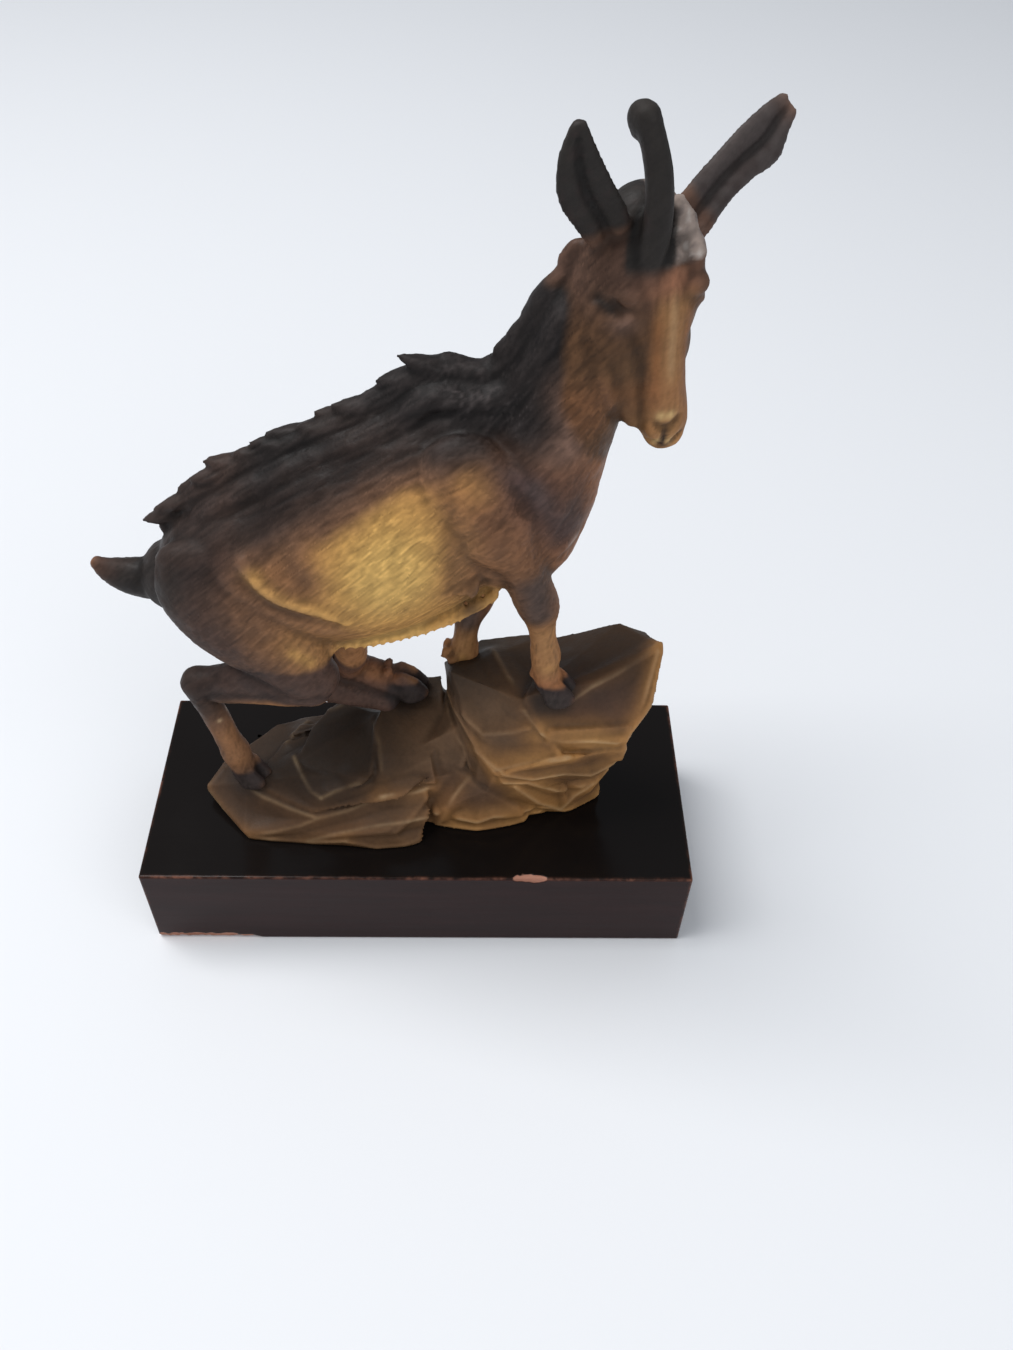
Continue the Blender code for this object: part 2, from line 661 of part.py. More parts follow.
def add_rock(clay):
    """Add the overlapping blocks of the rock, each given by its corners in shares of the rock."""
    base = -0.05
    blocks = (
        (
            (0.74, -0.40, 0.93), (1.05, 0.06, 0.99), (1.01, -0.34, 0.78), (0.90, -0.63, 0.65),
            (0.55, -0.74, 0.72), (0.45, -0.57, 0.91), (0.60, 0.70, 0.80), (0.88, 0.66, 0.91),
            (1.00, 0.48, 0.92), (0.86, -0.10, 0.20), (0.70, -0.30, 0.25), (0.50, 0.50, 0.30),
            (0.45, -0.20, 0.30),
        ),
        (
            (0.14, -0.06, 0.86), (0.20, -0.29, 0.73), (0.27, -0.63, 0.54), (0.34, -0.76, 0.46),
            (0.62, -0.80, 0.62), (0.46, -0.57, 0.88), (0.27, 0.74, 0.77), (0.60, 0.74, 0.82),
            (0.10, 0.40, 0.74), (0.20, 0.70, base), (0.75, 0.60, base), (0.25, -0.60, base),
            (0.70, -0.35, base),
        ),
        (
            (0.34, -0.80, 0.47), (0.62, -0.85, 0.62), (0.90, -0.62, 0.57), (0.80, -0.60, 0.35),
            (0.42, -0.70, 0.30), (0.85, -0.18, 0.20), (0.40, 0.00, 0.20), (0.80, 0.30, 0.40),
        ),
        (
            (0.60, -0.44, 0.26), (0.80, -0.40, 0.16), (0.84, -0.15, 0.08), (0.68, -0.40, base),
            (0.84, -0.12, base), (0.45, -0.50, base), (0.45, -0.45, 0.30), (0.90, -0.20, 0.45),
            (0.70, 0.40, base), (0.40, 0.40, base),
        ),
        (
            (0.06, -0.66, 0.10), (0.30, -0.74, 0.30), (0.46, -0.66, 0.12), (0.50, -0.56, base),
            (0.07, -0.62, base), (0.26, -0.72, base), (0.10, -0.40, 0.40), (0.50, -0.30, 0.40),
            (0.20, 0.20, base), (0.50, 0.20, base),
        ),
        (
            (-1.00, -0.22, 0.08), (-0.98, -0.10, base), (-0.80, -0.86, 0.03), (-0.72, -0.92, base),
            (-0.50, -0.96, base), (-0.10, -0.98, 0.10), (-0.08, -0.95, base), (0.05, -0.66, 0.22),
            (0.02, -0.60, base), (-0.80, -0.36, 0.19), (-0.92, 0.10, 0.14), (-0.80, 0.78, base),
            (-0.70, 0.60, 0.20), (-0.45, 0.90, 0.16), (0.00, 0.70, base), (-0.48, -0.78, 0.13),
            (0.00, -0.50, 0.30),
        ),
        (
            (-0.80, -0.36, 0.21), (-0.70, -0.50, 0.17), (-0.48, -0.76, 0.15), (-0.08, -0.78, 0.27),
            (0.05, -0.62, 0.34), (-0.58, -0.20, 0.26), (-0.65, 0.20, 0.22), (-0.30, 0.50, 0.30),
            (0.05, 0.40, 0.30), (-0.10, -0.50, 0.34),
        ),
        (
            (-0.57, -0.20, 0.26), (-0.50, -0.44, 0.19), (-0.44, -0.56, 0.18), (-0.22, -0.62, 0.33),
            (-0.20, -0.30, 0.36), (-0.18, 0.22, 0.46), (-0.40, 0.56, 0.36), (-0.52, 0.30, 0.30),
            (-0.30, 0.80, base), (0.00, 0.60, 0.30),
        ),
        (
            (-0.22, -0.30, 0.37), (-0.18, 0.22, 0.50), (-0.16, 0.60, 0.53), (0.10, 0.64, 0.56),
            (0.10, 0.10, 0.52), (0.06, -0.44, 0.42), (0.08, -0.62, 0.30), (-0.15, -0.58, 0.30),
            (0.15, 0.60, 0.10), (-0.25, 0.80, base),
        ),
        (
            (-0.05, -0.56, 0.10), (0.10, -0.60, base), (0.20, -0.50, 0.40), (-0.05, -0.30, 0.40),
            (0.12, 0.20, 0.52), (0.25, -0.20, 0.60), (0.20, 0.50, 0.55), (-0.10, 0.50, 0.40),
            (-0.05, 0.60, base), (0.25, 0.60, base), (-0.05, -0.45, base), (0.25, -0.50, base),
        ),
        (
            (-0.84, 0.80, base), (-0.68, 0.78, 0.05), (-0.62, 1.00, 0.02), (-0.30, 0.95, base),
            (-0.30, 0.90, 0.20), (-0.60, 0.30, 0.24), (-0.10, 0.60, 0.40), (-0.10, 0.80, base),
        ),
        (
            (-0.60, -0.94, base), (-0.20, -1.02, base), (0.00, -0.96, base), (0.06, -0.70, 0.16),
            (-0.38, -0.96, 0.07), (-0.15, -0.98, 0.12), (-0.30, -0.50, 0.15),
        ),
    )
    for corners in blocks:
        clay.add_block([rock_point(*corner) for corner in corners])


def build_casting(group, cutters):
    """Build the one-piece casting of the animal and the rock."""
    clay = Clay()
    add_trunk(clay)
    add_neck(clay)
    add_head(clay)
    add_ears(clay)
    add_horn(clay)
    add_horn_scar(clay)
    add_forelegs(clay)
    add_hind_legs(clay)
    add_tail(clay)
    add_crest(clay)
    add_belly_fringe(clay)
    add_tufts(clay)
    add_rock(clay)
    casting = clay.finish("chamois_on_rock", group)

    skin = casting.modifiers.new("skin", "REMESH")
    skin.mode = "VOXEL"
    skin.voxel_size = SKIN_VOXEL
    skin.use_smooth_shade = True
    blend = casting.modifiers.new("blend", "SMOOTH")
    blend.factor = 0.5
    blend.iterations = 3
    facets = casting.modifiers.new("facets", "DECIMATE")
    facets.ratio = CASTING_SHARE
    bpy.ops.mesh.primitive_cube_add(size=1)
    cutter = bpy.context.object
    cutter.name = "underside_cutter"
    cutter.scale = (2 * ROCK_LENGTH, 2 * ROCK_DEPTH, PLINTH_HEIGHT)
    cutter.location = (0, 0, PLINTH_HEIGHT / 2 + SEAT_GAP)
    for owner in list(cutter.users_collection):
        owner.objects.unlink(cutter)
    cutters.objects.link(cutter)
    cutter.hide_render = True
    cutter.display_type = "WIRE"
    flat = casting.modifiers.new("flat_underside", "BOOLEAN")
    flat.operation = "DIFFERENCE"
    flat.object = cutter
    colour, roughness = COLOURS["casting"]
    casting.data.materials.append(new_material("painted_resin", colour, roughness))
    return casting


def build_plinth(group):
    """Build the lacquered block with its softened edges."""
    bpy.ops.mesh.primitive_cube_add(size=1)
    plinth = bpy.context.object
    plinth.name = "plinth"
    for vert in plinth.data.vertices:
        vert.co.x *= PLINTH_LENGTH
        vert.co.y *= PLINTH_DEPTH
        vert.co.z = (vert.co.z + 0.5) * PLINTH_HEIGHT
    for owner in list(plinth.users_collection):
        owner.objects.unlink(plinth)
    group.objects.link(plinth)
    soften = plinth.modifiers.new("soft_edges", "BEVEL")
    soften.width = PLINTH_EDGE
    soften.segments = 2
    colour, roughness = COLOURS["plinth"]
    plinth.data.materials.append(new_material("lacquered_wood", colour, roughness))
    return plinth


def main():
    """Build the figurine."""
    clear_scene()
    group = new_collection("chamois_figurine")
    cutters = new_collection("cutters")
    build_plinth(group)
    build_casting(group, cutters)


main()
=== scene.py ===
"""Chamois figurine: a painted resin casting on a lacquered block, dressed over its solid model.

X runs along the block towards the animal's head, Y away from its right flank, Z up, in metres.
"""
import logging
import math
from dataclasses import dataclass, field
from enum import Enum
from typing import Sequence

import bmesh
import bpy
import numpy as np
from mathutils import Euler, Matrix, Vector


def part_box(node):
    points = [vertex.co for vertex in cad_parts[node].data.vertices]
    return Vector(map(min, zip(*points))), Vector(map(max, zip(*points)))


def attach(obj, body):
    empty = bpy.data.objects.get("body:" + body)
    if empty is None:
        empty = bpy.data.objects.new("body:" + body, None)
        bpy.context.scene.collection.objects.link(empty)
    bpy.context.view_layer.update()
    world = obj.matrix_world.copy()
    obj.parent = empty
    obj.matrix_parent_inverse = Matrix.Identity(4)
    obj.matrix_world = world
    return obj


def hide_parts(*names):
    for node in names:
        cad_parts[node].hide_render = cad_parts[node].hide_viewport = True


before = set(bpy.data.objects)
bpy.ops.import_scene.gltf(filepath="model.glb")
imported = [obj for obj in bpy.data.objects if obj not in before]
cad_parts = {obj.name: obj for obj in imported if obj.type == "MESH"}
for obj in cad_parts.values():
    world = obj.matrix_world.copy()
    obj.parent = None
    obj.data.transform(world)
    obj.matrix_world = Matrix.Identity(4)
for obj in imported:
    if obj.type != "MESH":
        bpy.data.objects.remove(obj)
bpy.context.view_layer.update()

log = logging.getLogger("chamois")
Form = tuple[np.ndarray, list]
Colour = tuple[float, float, float]
CASTING = "chamois_on_rock"
BLOCK = "plinth"
# Millimetres in a metre.
MM = 1000
# What stirs a lattice corner into noise: a factor for each direction and the seed, then pairs of
# shift and factor.
CORNER_FACTORS = (73856093, 19349663, 83492791)
SEED_FACTOR = 2654435761
STIRS = ((15, 2246822519), (13, 3266489917))
LAST_SHIFT = 16
WORD = 0xFFFFFFFF
# The least half width of a section and the least length that is divided by, in metres.
THINNEST = 5e-5
TINY = 1e-12
# Where a limb's rounded end and an egg have their sections, in shares of their reach.
CAP_STOPS = (0.30, 0.55, 0.75, 0.89, 0.97)
EGG_STOPS = (-0.85, -0.5, 0.0, 0.5, 0.85)
# How far a round of smoothing moves a point, and how much of that it takes back.
SMOOTHING = 0.5
REGAIN = 0.92
# Layers of noise: size in metres, seed and share.
MIST = ((0.0085, 3, 0.55), (0.0035, 4, 0.45))
LUMPS = ((0.0042, 51, 0.6), (0.0022, 52, 0.4))
BLOTCH = ((0.0011, 61, 0.6), (0.0022, 62, 0.4))
SWELL = ((0.011, 11, 0.35), (0.0045, 12, 0.10))
ROCK_MIST = ((0.009, 21, 0.5), (0.004, 22, 0.5))
RAGGED = ((0.0016, 71, 0.6), (0.0006, 72, 0.4))
# How near to its seat the rock's underside joins it, in metres.
SEAT_BAND = 0.00035


class Flank(Enum):
    """A side of the animal, as a sign along its own right."""

    RIGHT = 1
    LEFT = -1


def unit(vector: Sequence[float]) -> np.ndarray:
    """Return a vector at length one."""
    found = np.asarray(vector, dtype=float)
    return found / np.linalg.norm(found)


def ramp(value: np.ndarray, start: float, end: float) -> np.ndarray:
    """Rise smoothly from 0 at start to 1 at end, as 3t squared minus 2t cubed.

    Args:
        value: Where to read the ramp.
        start: The value that gives 0.
        end: The value that gives 1; it may lie below start.

    Returns:
        The ramp's height at each value.
    """
    share = np.clip((value - start) / (end - start), 0.0, 1.0)
    return share * share * (3.0 - 2.0 * share)


def cloud(places: np.ndarray, seed: int) -> np.ndarray:
    """Return smooth noise from -1 to 1, which blends hashed values of the eight lattice corners.

    Args:
        places: Points in lattice steps, one a row.
        seed: Picks one of many patterns.

    Returns:
        The noise at each point.
    """
    cell = np.floor(places).astype(np.int64)
    part = places - cell
    part = part * part * (3.0 - 2.0 * part)
    total = np.zeros(len(places))
    for corner in range(8):
        step = np.array([corner & 1, corner >> 1 & 1, corner >> 2 & 1])
        where = cell + step
        mixed = np.bitwise_xor.reduce(where * np.array(CORNER_FACTORS), axis=1)
        mixed = (mixed ^ (seed * SEED_FACTOR)) & WORD
        for shift, factor in STIRS:
            mixed = (mixed ^ (mixed >> shift)) * factor & WORD
        height = (mixed ^ (mixed >> LAST_SHIFT)) / (WORD / 2) - 1.0
        share = np.prod(np.where(step == 1, part, 1.0 - part), axis=1)
        total += share * height
    return total


def mottle(places: np.ndarray, layers: Sequence[tuple[float, int, float]]) -> np.ndarray:
    """Add up layers of noise, each with its size in metres, its seed and its share."""
    return sum(cloud(places / size, seed) * share for size, seed, share in layers)


def window(places: np.ndarray, edges: Sequence[tuple[int, float, float]]) -> np.ndarray:
    """Return a mask: the product of soft edges.

    Args:
        places: Points, one a row.
        edges: Rows of axis, where the edge starts and where it is full, in millimetres.

    Returns:
        The mask, from 0 to 1.
    """
    mask = np.ones(len(places))
    for axis, start, full in edges:
        mask = mask * ramp(places[:, axis] * MM, start, full)
    return mask


@dataclass(frozen=True)
class Axes:
    """A local frame of the animal."""

    origin: np.ndarray
    rows: np.ndarray

    @classmethod
    def build(cls, origin: Sequence[float], *ways: Sequence[float]) -> "Axes":
        """Make a frame from its origin and three directions."""
        return cls(np.asarray(origin, dtype=float), np.array([unit(way) for way in ways]))

    def at(self, first: float, second: float, third: float) -> np.ndarray:
        """Return the point at these distances along the three directions."""
        return self.origin + np.array([first, second, third]) @ self.rows

    def along(self, first: float, second: float, third: float) -> np.ndarray:
        """Return the direction with these parts."""
        return unit(np.array([first, second, third]) @ self.rows)

    def local(self, places: np.ndarray) -> np.ndarray:
        """Return the points' distances along the three directions."""
        return (places - self.origin) @ self.rows.T


def spline(rows: Sequence[Sequence[float]], steps: int) -> np.ndarray:
    """Run a Catmull-Rom curve through the rows, whatever each row holds.

    Args:
        rows: The values at each station.
        steps: How many points each span gets.

    Returns:
        The values along the curve, one a row.
    """
    knots = np.asarray(rows, dtype=float)
    ends = np.vstack([2 * knots[0] - knots[1], knots, 2 * knots[-1] - knots[-2]])
    share = np.arange(steps)[:, None] / steps
    parts = []
    for a, b, c, d in zip(ends, ends[1:], ends[2:], ends[3:]):
        bend = 2 * a - 5 * b + 4 * c - d
        twist = 3 * b - a - 3 * c + d
        parts.append(0.5 * (2 * b + (c - a) * share + bend * share**2 + twist * share**3))
    parts.append(knots[-1:])
    return np.vstack(parts)


def limb(
    rows: Sequence[Sequence[float]],
    side: Sequence[float],
    sides: int = 28,
    steps: int = 6,
    square: float = 2.0,
) -> Form:
    """Carry a superellipse along a curve and close it with rounded ends.

    Each section is the centre, plus the half width times cosine along side, plus the half height
    times sine across it, both raised to 2 over square. Past each end the section shrinks as the
    square root of 1 minus the squared share of its reach.

    Args:
        rows: Centre, half width along side and half height, at each station.
        side: The direction of the half width.
        sides: Points round a section.
        steps: Sections in each span.
        square: 2 is an ellipse, and more is squarer.

    Returns:
        The form's points and faces.
    """
    path = spline(rows, steps)
    path[:, 3:] = np.maximum(path[:, 3:], THINNEST)
    share = np.array(CAP_STOPS)
    caps = []
    for end, inner in ((path[0], path[1]), (path[-1], path[-2])):
        reach = min(end[3], end[4]) * unit(end[:3] - inner[:3])
        centres = end[:3] + share[:, None] * reach
        halves = end[3:] * np.sqrt(1 - share**2)[:, None]
        caps.append(np.hstack([centres, halves]))
    path = np.vstack([caps[0][::-1], path, caps[1]])
    ahead = np.gradient(path[:, :3], axis=0)
    ahead /= np.linalg.norm(ahead, axis=1)[:, None]
    across = unit(side) - (ahead @ unit(side))[:, None] * ahead
    across /= np.linalg.norm(across, axis=1)[:, None]
    above = np.cross(ahead, across)
    turn = np.linspace(0, 2 * math.pi, sides, endpoint=False)
    cosine = np.sign(np.cos(turn)) * np.abs(np.cos(turn)) ** (2 / square)
    sine = np.sign(np.sin(turn)) * np.abs(np.sin(turn)) ** (2 / square)
    rings = path[:, None, :3] + (path[:, 3, None] * cosine)[:, :, None] * across[:, None, :]
    rings = rings + (path[:, 4, None] * sine)[:, :, None] * above[:, None, :]
    index = np.arange(len(path) * sides).reshape(len(path), sides)
    after = np.roll(index, -1, axis=1)
    quads = np.stack([index[:-1], after[:-1], after[1:], index[1:]], axis=-1).reshape(-1, 4)
    faces = quads.tolist() + [index[0, ::-1].tolist(), index[-1].tolist()]
    return rings.reshape(-1, 3), faces


def egg(centre: np.ndarray, radii: Sequence[float], axes: Axes, sides: int = 20) -> Form:
    """Loft a closed egg with half sizes along the three directions of a frame."""
    share = np.array(EGG_STOPS)
    centres = centre + np.outer(share * radii[0], axes.rows[0])
    round_off = np.sqrt(1 - share**2)[:, None]
    rows = np.hstack([centres, round_off * radii[1], round_off * radii[2]])
    return limb(rows, axes.rows[1], sides, 3)


def stone(corners: Sequence[np.ndarray]) -> Form:
    """Stretch a skin over the corners of a stone."""
    block = bmesh.new()
    for corner in corners:
        block.verts.new(corner)
    found = bmesh.ops.convex_hull(block, input=block.verts)
    spare = [item for item in found["geom_interior"] if isinstance(item, bmesh.types.BMVert)]
    bmesh.ops.delete(block, geom=spare, context="VERTS")
    bmesh.ops.recalc_face_normals(block, faces=block.faces)
    block.verts.index_update()
    points = np.array([vert.co[:] for vert in block.verts])
    faces = [[vert.index for vert in face.verts] for face in block.faces]
    block.free()
    return points, faces


class Skin:
    """The surface of a fused form, as whole arrays of points and quads."""

    def __init__(self, points: np.ndarray, quads: np.ndarray) -> None:
        """Keep the surface and find its edges."""
        self.points = points
        self.quads = quads
        pairs = np.vstack([quads[:, [k, (k + 1) % 4]] for k in range(4)])
        pairs = np.sort(pairs, axis=1)
        self.edges = np.unique(pairs, axis=0)
        self.degree = np.bincount(self.edges.ravel(), minlength=len(points)).astype(float)
        self.values: dict[str, np.ndarray] = {}

    def mean(self, value: np.ndarray) -> np.ndarray:
        """Return the average of a value over each point's neighbours."""
        first, second = self.edges.T
        count = len(self.points)
        if value.ndim == 1:
            ahead = np.bincount(first, value[second], count)
            return (ahead + np.bincount(second, value[first], count)) / self.degree
        parts = [self.mean(value[:, k]) for k in range(value.shape[1])]
        return np.stack(parts, axis=1)

    def soften(self, rounds: int, where: np.ndarray | None = None) -> None:
        """Move each point towards its neighbours' average, in rounds that don't shrink the form.

        Args:
            rounds: How many times to smooth.
            where: How far each point takes part, from 0 to 1.
        """
        weight = np.ones(len(self.points)) if where is None else where
        for _ in range(rounds):
            for share in (SMOOTHING, -REGAIN * SMOOTHING):
                way = self.mean(self.points) - self.points
                self.points = self.points + share * weight[:, None] * way

    def normals(self) -> np.ndarray:
        """Return outward normals: the cross products of the quads' diagonals, summed at points."""
        a, b, c, d = (self.points[self.quads[:, k]] for k in range(4))
        facing = np.cross(c - a, d - b)
        total = np.zeros_like(self.points)
        for k in range(4):
            for i in range(3):
                total[:, i] += np.bincount(self.quads[:, k], facing[:, i], len(self.points))
        return total / np.maximum(np.linalg.norm(total, axis=1), TINY)[:, None]

    def push(self, amount: np.ndarray) -> None:
        """Move every point along its normal."""
        self.points = self.points + amount[:, None] * self.normals()

    def bend(self) -> np.ndarray:
        """Return how strongly the surface folds outwards at each point, in metres of bulge."""
        apart = self.points - self.mean(self.points)
        return np.sum(apart * self.normals(), axis=1)

    def reach(self, path: Sequence[Sequence[float]], fold: bool = False) -> np.ndarray:
        """Return each point's distance to the nearest place on a path of straight pieces.

        Args:
            path: The path's corners.
            fold: Whether the far side counts as a mirror image of the near side.

        Returns:
            The distances.
        """
        places = self.points.copy()
        if fold:
            places[:, 1] = -np.abs(places[:, 1])
        knots = np.asarray(path, dtype=float).reshape(-1, 3)
        if len(knots) == 1:
            return np.linalg.norm(places - knots[0], axis=1)
        best = np.full(len(places), np.inf)
        for start, end in zip(knots, knots[1:]):
            way = end - start
            share = np.clip((places - start) @ way / (way @ way), 0, 1)
            apart = np.linalg.norm(places - start - share[:, None] * way, axis=1)
            best = np.minimum(best, apart)
        return best

    def trace(self, path: Sequence[Sequence[float]], width: float, height: float) -> None:
        """Raise a ridge along a path, or cut a groove where height is negative."""
        self.push(height * np.exp(-((self.reach(path) / width) ** 2)))

    def sit(self, level: float) -> None:
        """Press the underside flat: nothing lies below the level, and what is near it joins it."""
        low = self.points[:, 2] < level + SEAT_BAND
        self.points[low, 2] = level

    def finish(self, name: str, finish: "ResinFinish") -> bpy.types.Object:
        """Turn the surface into a finished piece of the casting.

        Args:
            name: The piece's name.
            finish: What it is painted with.

        Returns:
            The piece.
        """
        data = bpy.data.meshes.new(name)
        data.from_pydata(self.points.tolist(), [], self.quads.tolist())
        for key, value in self.values.items():
            flat = value.astype(np.float32)
            if value.ndim == 1:
                data.attributes.new(key, "FLOAT", "POINT").data.foreach_set("value", flat)
            else:
                rgba = np.hstack([flat, np.ones((len(flat), 1), dtype=np.float32)]).ravel()
                data.attributes.new(key, "FLOAT_COLOR", "POINT").data.foreach_set("color", rgba)
        data.shade_smooth()
        piece = bpy.data.objects.new(name, data)
        bpy.context.scene.collection.objects.link(piece)
        data.materials.append(finish.material())
        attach(piece, "root")
        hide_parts(CASTING)
        log.info("%s: %d points", name, len(self.points))
        return piece


@dataclass
class Clay:
    """Closed forms that are fused into one skin."""

    voxel: float
    forms: list[Form] = field(default_factory=list)

    def add(self, form: Form) -> None:
        """Add a closed form."""
        self.forms.append(form)

    def fuse(self) -> Skin:
        """Fuse the forms with a voxel remesh and read the result as arrays."""
        points, faces, start = [], [], 0
        for some, turns in self.forms:
            points.append(some)
            faces.extend([[start + k for k in face] for face in turns])
            start += len(some)
        data = bpy.data.meshes.new("clay")
        data.from_pydata(np.vstack(points).tolist(), [], faces)
        whole = bmesh.new()
        whole.from_mesh(data)
        bmesh.ops.recalc_face_normals(whole, faces=whole.faces)
        whole.to_mesh(data)
        whole.free()
        body = bpy.data.objects.new("clay", data)
        bpy.context.scene.collection.objects.link(body)
        remesh = body.modifiers.new("fuse", "REMESH")
        remesh.mode = "VOXEL"
        remesh.voxel_size = self.voxel
        graph = bpy.context.evaluated_depsgraph_get()
        fused = bpy.data.meshes.new_from_object(body.evaluated_get(graph))
        found = np.empty(len(fused.vertices) * 3, dtype=np.float32)
        fused.vertices.foreach_get("co", found)
        loops = np.empty(len(fused.loops), dtype=np.int32)
        fused.loops.foreach_get("vertex_index", loops)
        bpy.data.objects.remove(body)
        bpy.data.meshes.remove(data)
        bpy.data.meshes.remove(fused)
        return Skin(found.reshape(-1, 3).astype(float), loops.reshape(-1, 4))


# Where each hoof stands, in shares of the rock's half length, half depth and height.
HOOVES = {
    "near_fore": (0.575, -0.43, 0.890),
    "far_fore": (0.200, 0.35, 0.705),
    "near_hind": (-0.790, -0.28, 0.215),
    "far_hind": (-0.060, 0.40, 0.555),
}


@dataclass
class Pose:
    """The lengths and turns that set the animal up, and the frames that follow from them."""

    block_top: float
    rock_length: float = 0.096
    rock_depth: float = 0.035
    rock_height: float = 0.046
    seat_gap: float = 0.0003
    body_length: float = 0.080
    body_width: float = 0.032
    body_depth: float = 0.040
    body_pitch: float = math.radians(20)
    body_lift: float = 0.0645
    rump_overhang: float = 0.001
    neck_length: float = 0.046
    neck_width: float = 0.021
    neck_pitch: float = math.radians(69)
    neck_lean: float = -0.02
    neck_root: tuple[float, float] = (0.86, -0.02)
    head_length: float = 0.0325
    head_width: float = 0.0160
    head_seat: float = 0.985
    head_shift: tuple[float, float, float] = (0.171, 0.057, 0.048)
    head_turn: float = math.radians(52)
    head_nod: float = math.radians(79)
    face_turn: float = math.radians(23)
    leg_width: float = 0.0078
    hoof_width: float = 0.0070

    def on_rock(self, along: float, across: float, up: float) -> np.ndarray:
        """Place a point by its shares of the rock's half length, half depth and height."""
        level = self.block_top + self.seat_gap + up * self.rock_height
        return np.array([along * self.rock_length / 2, across * self.rock_depth / 2, level])

    def body(self) -> Axes:
        """Return the trunk's frame: along the back, to the left flank, and up."""
        ahead = (math.cos(self.body_pitch), 0, math.sin(self.body_pitch))
        above = (-math.sin(self.body_pitch), 0, math.cos(self.body_pitch))
        start = (-self.rock_length / 2 + self.rump_overhang, 0, self.block_top + self.body_lift)
        return Axes.build(start, ahead, (0, 1, 0), above)

    def neck(self) -> Axes:
        """Return the neck's frame, whose third direction points to its back edge."""
        along, up = self.neck_root
        start = self.body().at(along * self.body_length, 0, up * self.body_depth)
        ahead = (math.cos(self.neck_pitch), self.neck_lean, math.sin(self.neck_pitch))
        return Axes.build(start, ahead, (0, 1, 0), np.cross(ahead, (0, 1, 0)))

    def head(self) -> Axes:
        """Return the head's frame: down the muzzle, out of the forehead, and to its right."""
        centre = self.neck().at(self.head_seat * self.neck_length, 0, 0)
        centre = centre + self.neck_width * np.array(self.head_shift)
        face = np.array([math.cos(self.head_turn), -math.sin(self.head_turn), 0.0])
        down = np.array([0, 0, -1.0])
        muzzle = math.sin(self.head_nod) * down + math.cos(self.head_nod) * face
        front = math.sin(self.head_nod) * face - math.cos(self.head_nod) * down
        return Axes.build(centre, muzzle, front, np.cross(muzzle, front))

    def face(self) -> Axes:
        """Return the face's frame: the head's, turned further towards the right flank."""
        head = self.head()
        muzzle, front, right = head.rows
        cosine, sine = math.cos(self.face_turn), math.sin(self.face_turn)
        turned = (cosine * front + sine * right, cosine * right - sine * front)
        return Axes.build(head.origin, muzzle, *turned)

    def hooves(self) -> dict[str, np.ndarray]:
        """Return where the four hooves stand on the rock."""
        return {name: self.on_rock(*share) for name, share in HOOVES.items()}


# Share of the way along, width, height above and height below of the barrel's stations.
BARREL = (
    (0.04, 0.46, 0.34, 0.40),
    (0.11, 0.72, 0.58, 0.62),
    (0.22, 0.88, 0.76, 0.78),
    (0.35, 0.97, 0.87, 1.10),
    (0.48, 1.00, 0.96, 1.19),
    (0.61, 0.97, 1.02, 1.08),
    (0.74, 0.90, 1.08, 0.86),
    (0.86, 0.76, 0.90, 0.82),
    (0.945, 0.52, 0.46, 0.68),
)
# Share of the way up, width and depth of the neck's stations.
NECK = (
    (-0.16, 1.25, 1.45),
    (0.08, 1.18, 1.34),
    (0.32, 1.02, 1.10),
    (0.56, 0.88, 0.92),
    (0.80, 0.70, 0.84),
    (1.00, 0.56, 0.80),
)
# Distance back, rise, width and depth of the tail's stations.
TAIL = (
    (-0.35, 0.06, 1.05, 1.20),
    (0.05, -0.02, 0.94, 1.10),
    (0.40, -0.05, 0.86, 1.04),
    (0.70, -0.01, 0.72, 0.88),
    (0.92, 0.08, 0.52, 0.62),
    (1.05, 0.19, 0.30, 0.34),
)
# Place and half sizes of the withers and of the right shoulder blade, in shares of the body.
WITHERS = ((0.80, 0.0, 0.40), (0.20, 0.26, 0.16))
BLADE = ((0.80, -0.30, 0.16), (0.12, 0.17, 0.30))


@dataclass
class Trunk:
    """The barrel of the body, the neck and the short raised tail."""

    pose: Pose
    neck_shift: float = -0.025
    tail_root: tuple[float, float] = (0.045, -0.03)
    tail_length: float = 0.0150
    tail_width: float = 0.0086

    def lump(self, clay: Clay, lump: tuple[Sequence[float], Sequence[float]], way: int) -> None:
        """Add an egg by shares of the body, on its own side or the other."""
        pose, (place, radii) = self.pose, lump
        size = (pose.body_length, pose.body_width, pose.body_depth)
        along, across, up = (share * whole for share, whole in zip(place, size))
        centre = pose.body().at(along, way * across, up)
        halves = [share * whole for share, whole in zip(radii, size)]
        clay.add(egg(centre, halves, pose.body()))

    def model(self, clay: Clay) -> None:
        """Add the barrel, the withers, the neck, the shoulders and the tail."""
        pose = self.pose
        body, neck = pose.body(), pose.neck()
        rows = []
        for along, wide, above, below in BARREL:
            rise = (above - below) * pose.body_depth / 4
            centre = body.at(along * pose.body_length, 0, rise)
            half = (above + below) * pose.body_depth / 4
            rows.append((*centre, wide * pose.body_width / 2, half))
        clay.add(limb(rows, body.rows[1], 48, 8))
        self.lump(clay, WITHERS, 1)
        rows = []
        for along, wide, deep in NECK:
            centre = neck.at(along * pose.neck_length, 0, self.neck_shift * pose.neck_width)
            rows.append((*centre, wide * pose.neck_width / 2, deep * pose.neck_width / 2))
        clay.add(limb(rows, neck.rows[1], 40, 8))
        for flank in Flank:
            self.lump(clay, BLADE, flank.value)
        root = body.at(self.tail_root[0] * pose.body_length, 0, self.tail_root[1] * pose.body_depth)
        rows = []
        for along, up, wide, deep in TAIL:
            centre = root + self.tail_length * np.array([-along, 0, up])
            rows.append((*centre, wide * self.tail_width / 2, deep * self.tail_width / 2))
        clay.add(limb(rows, (0, 1, 0), 24, 6))


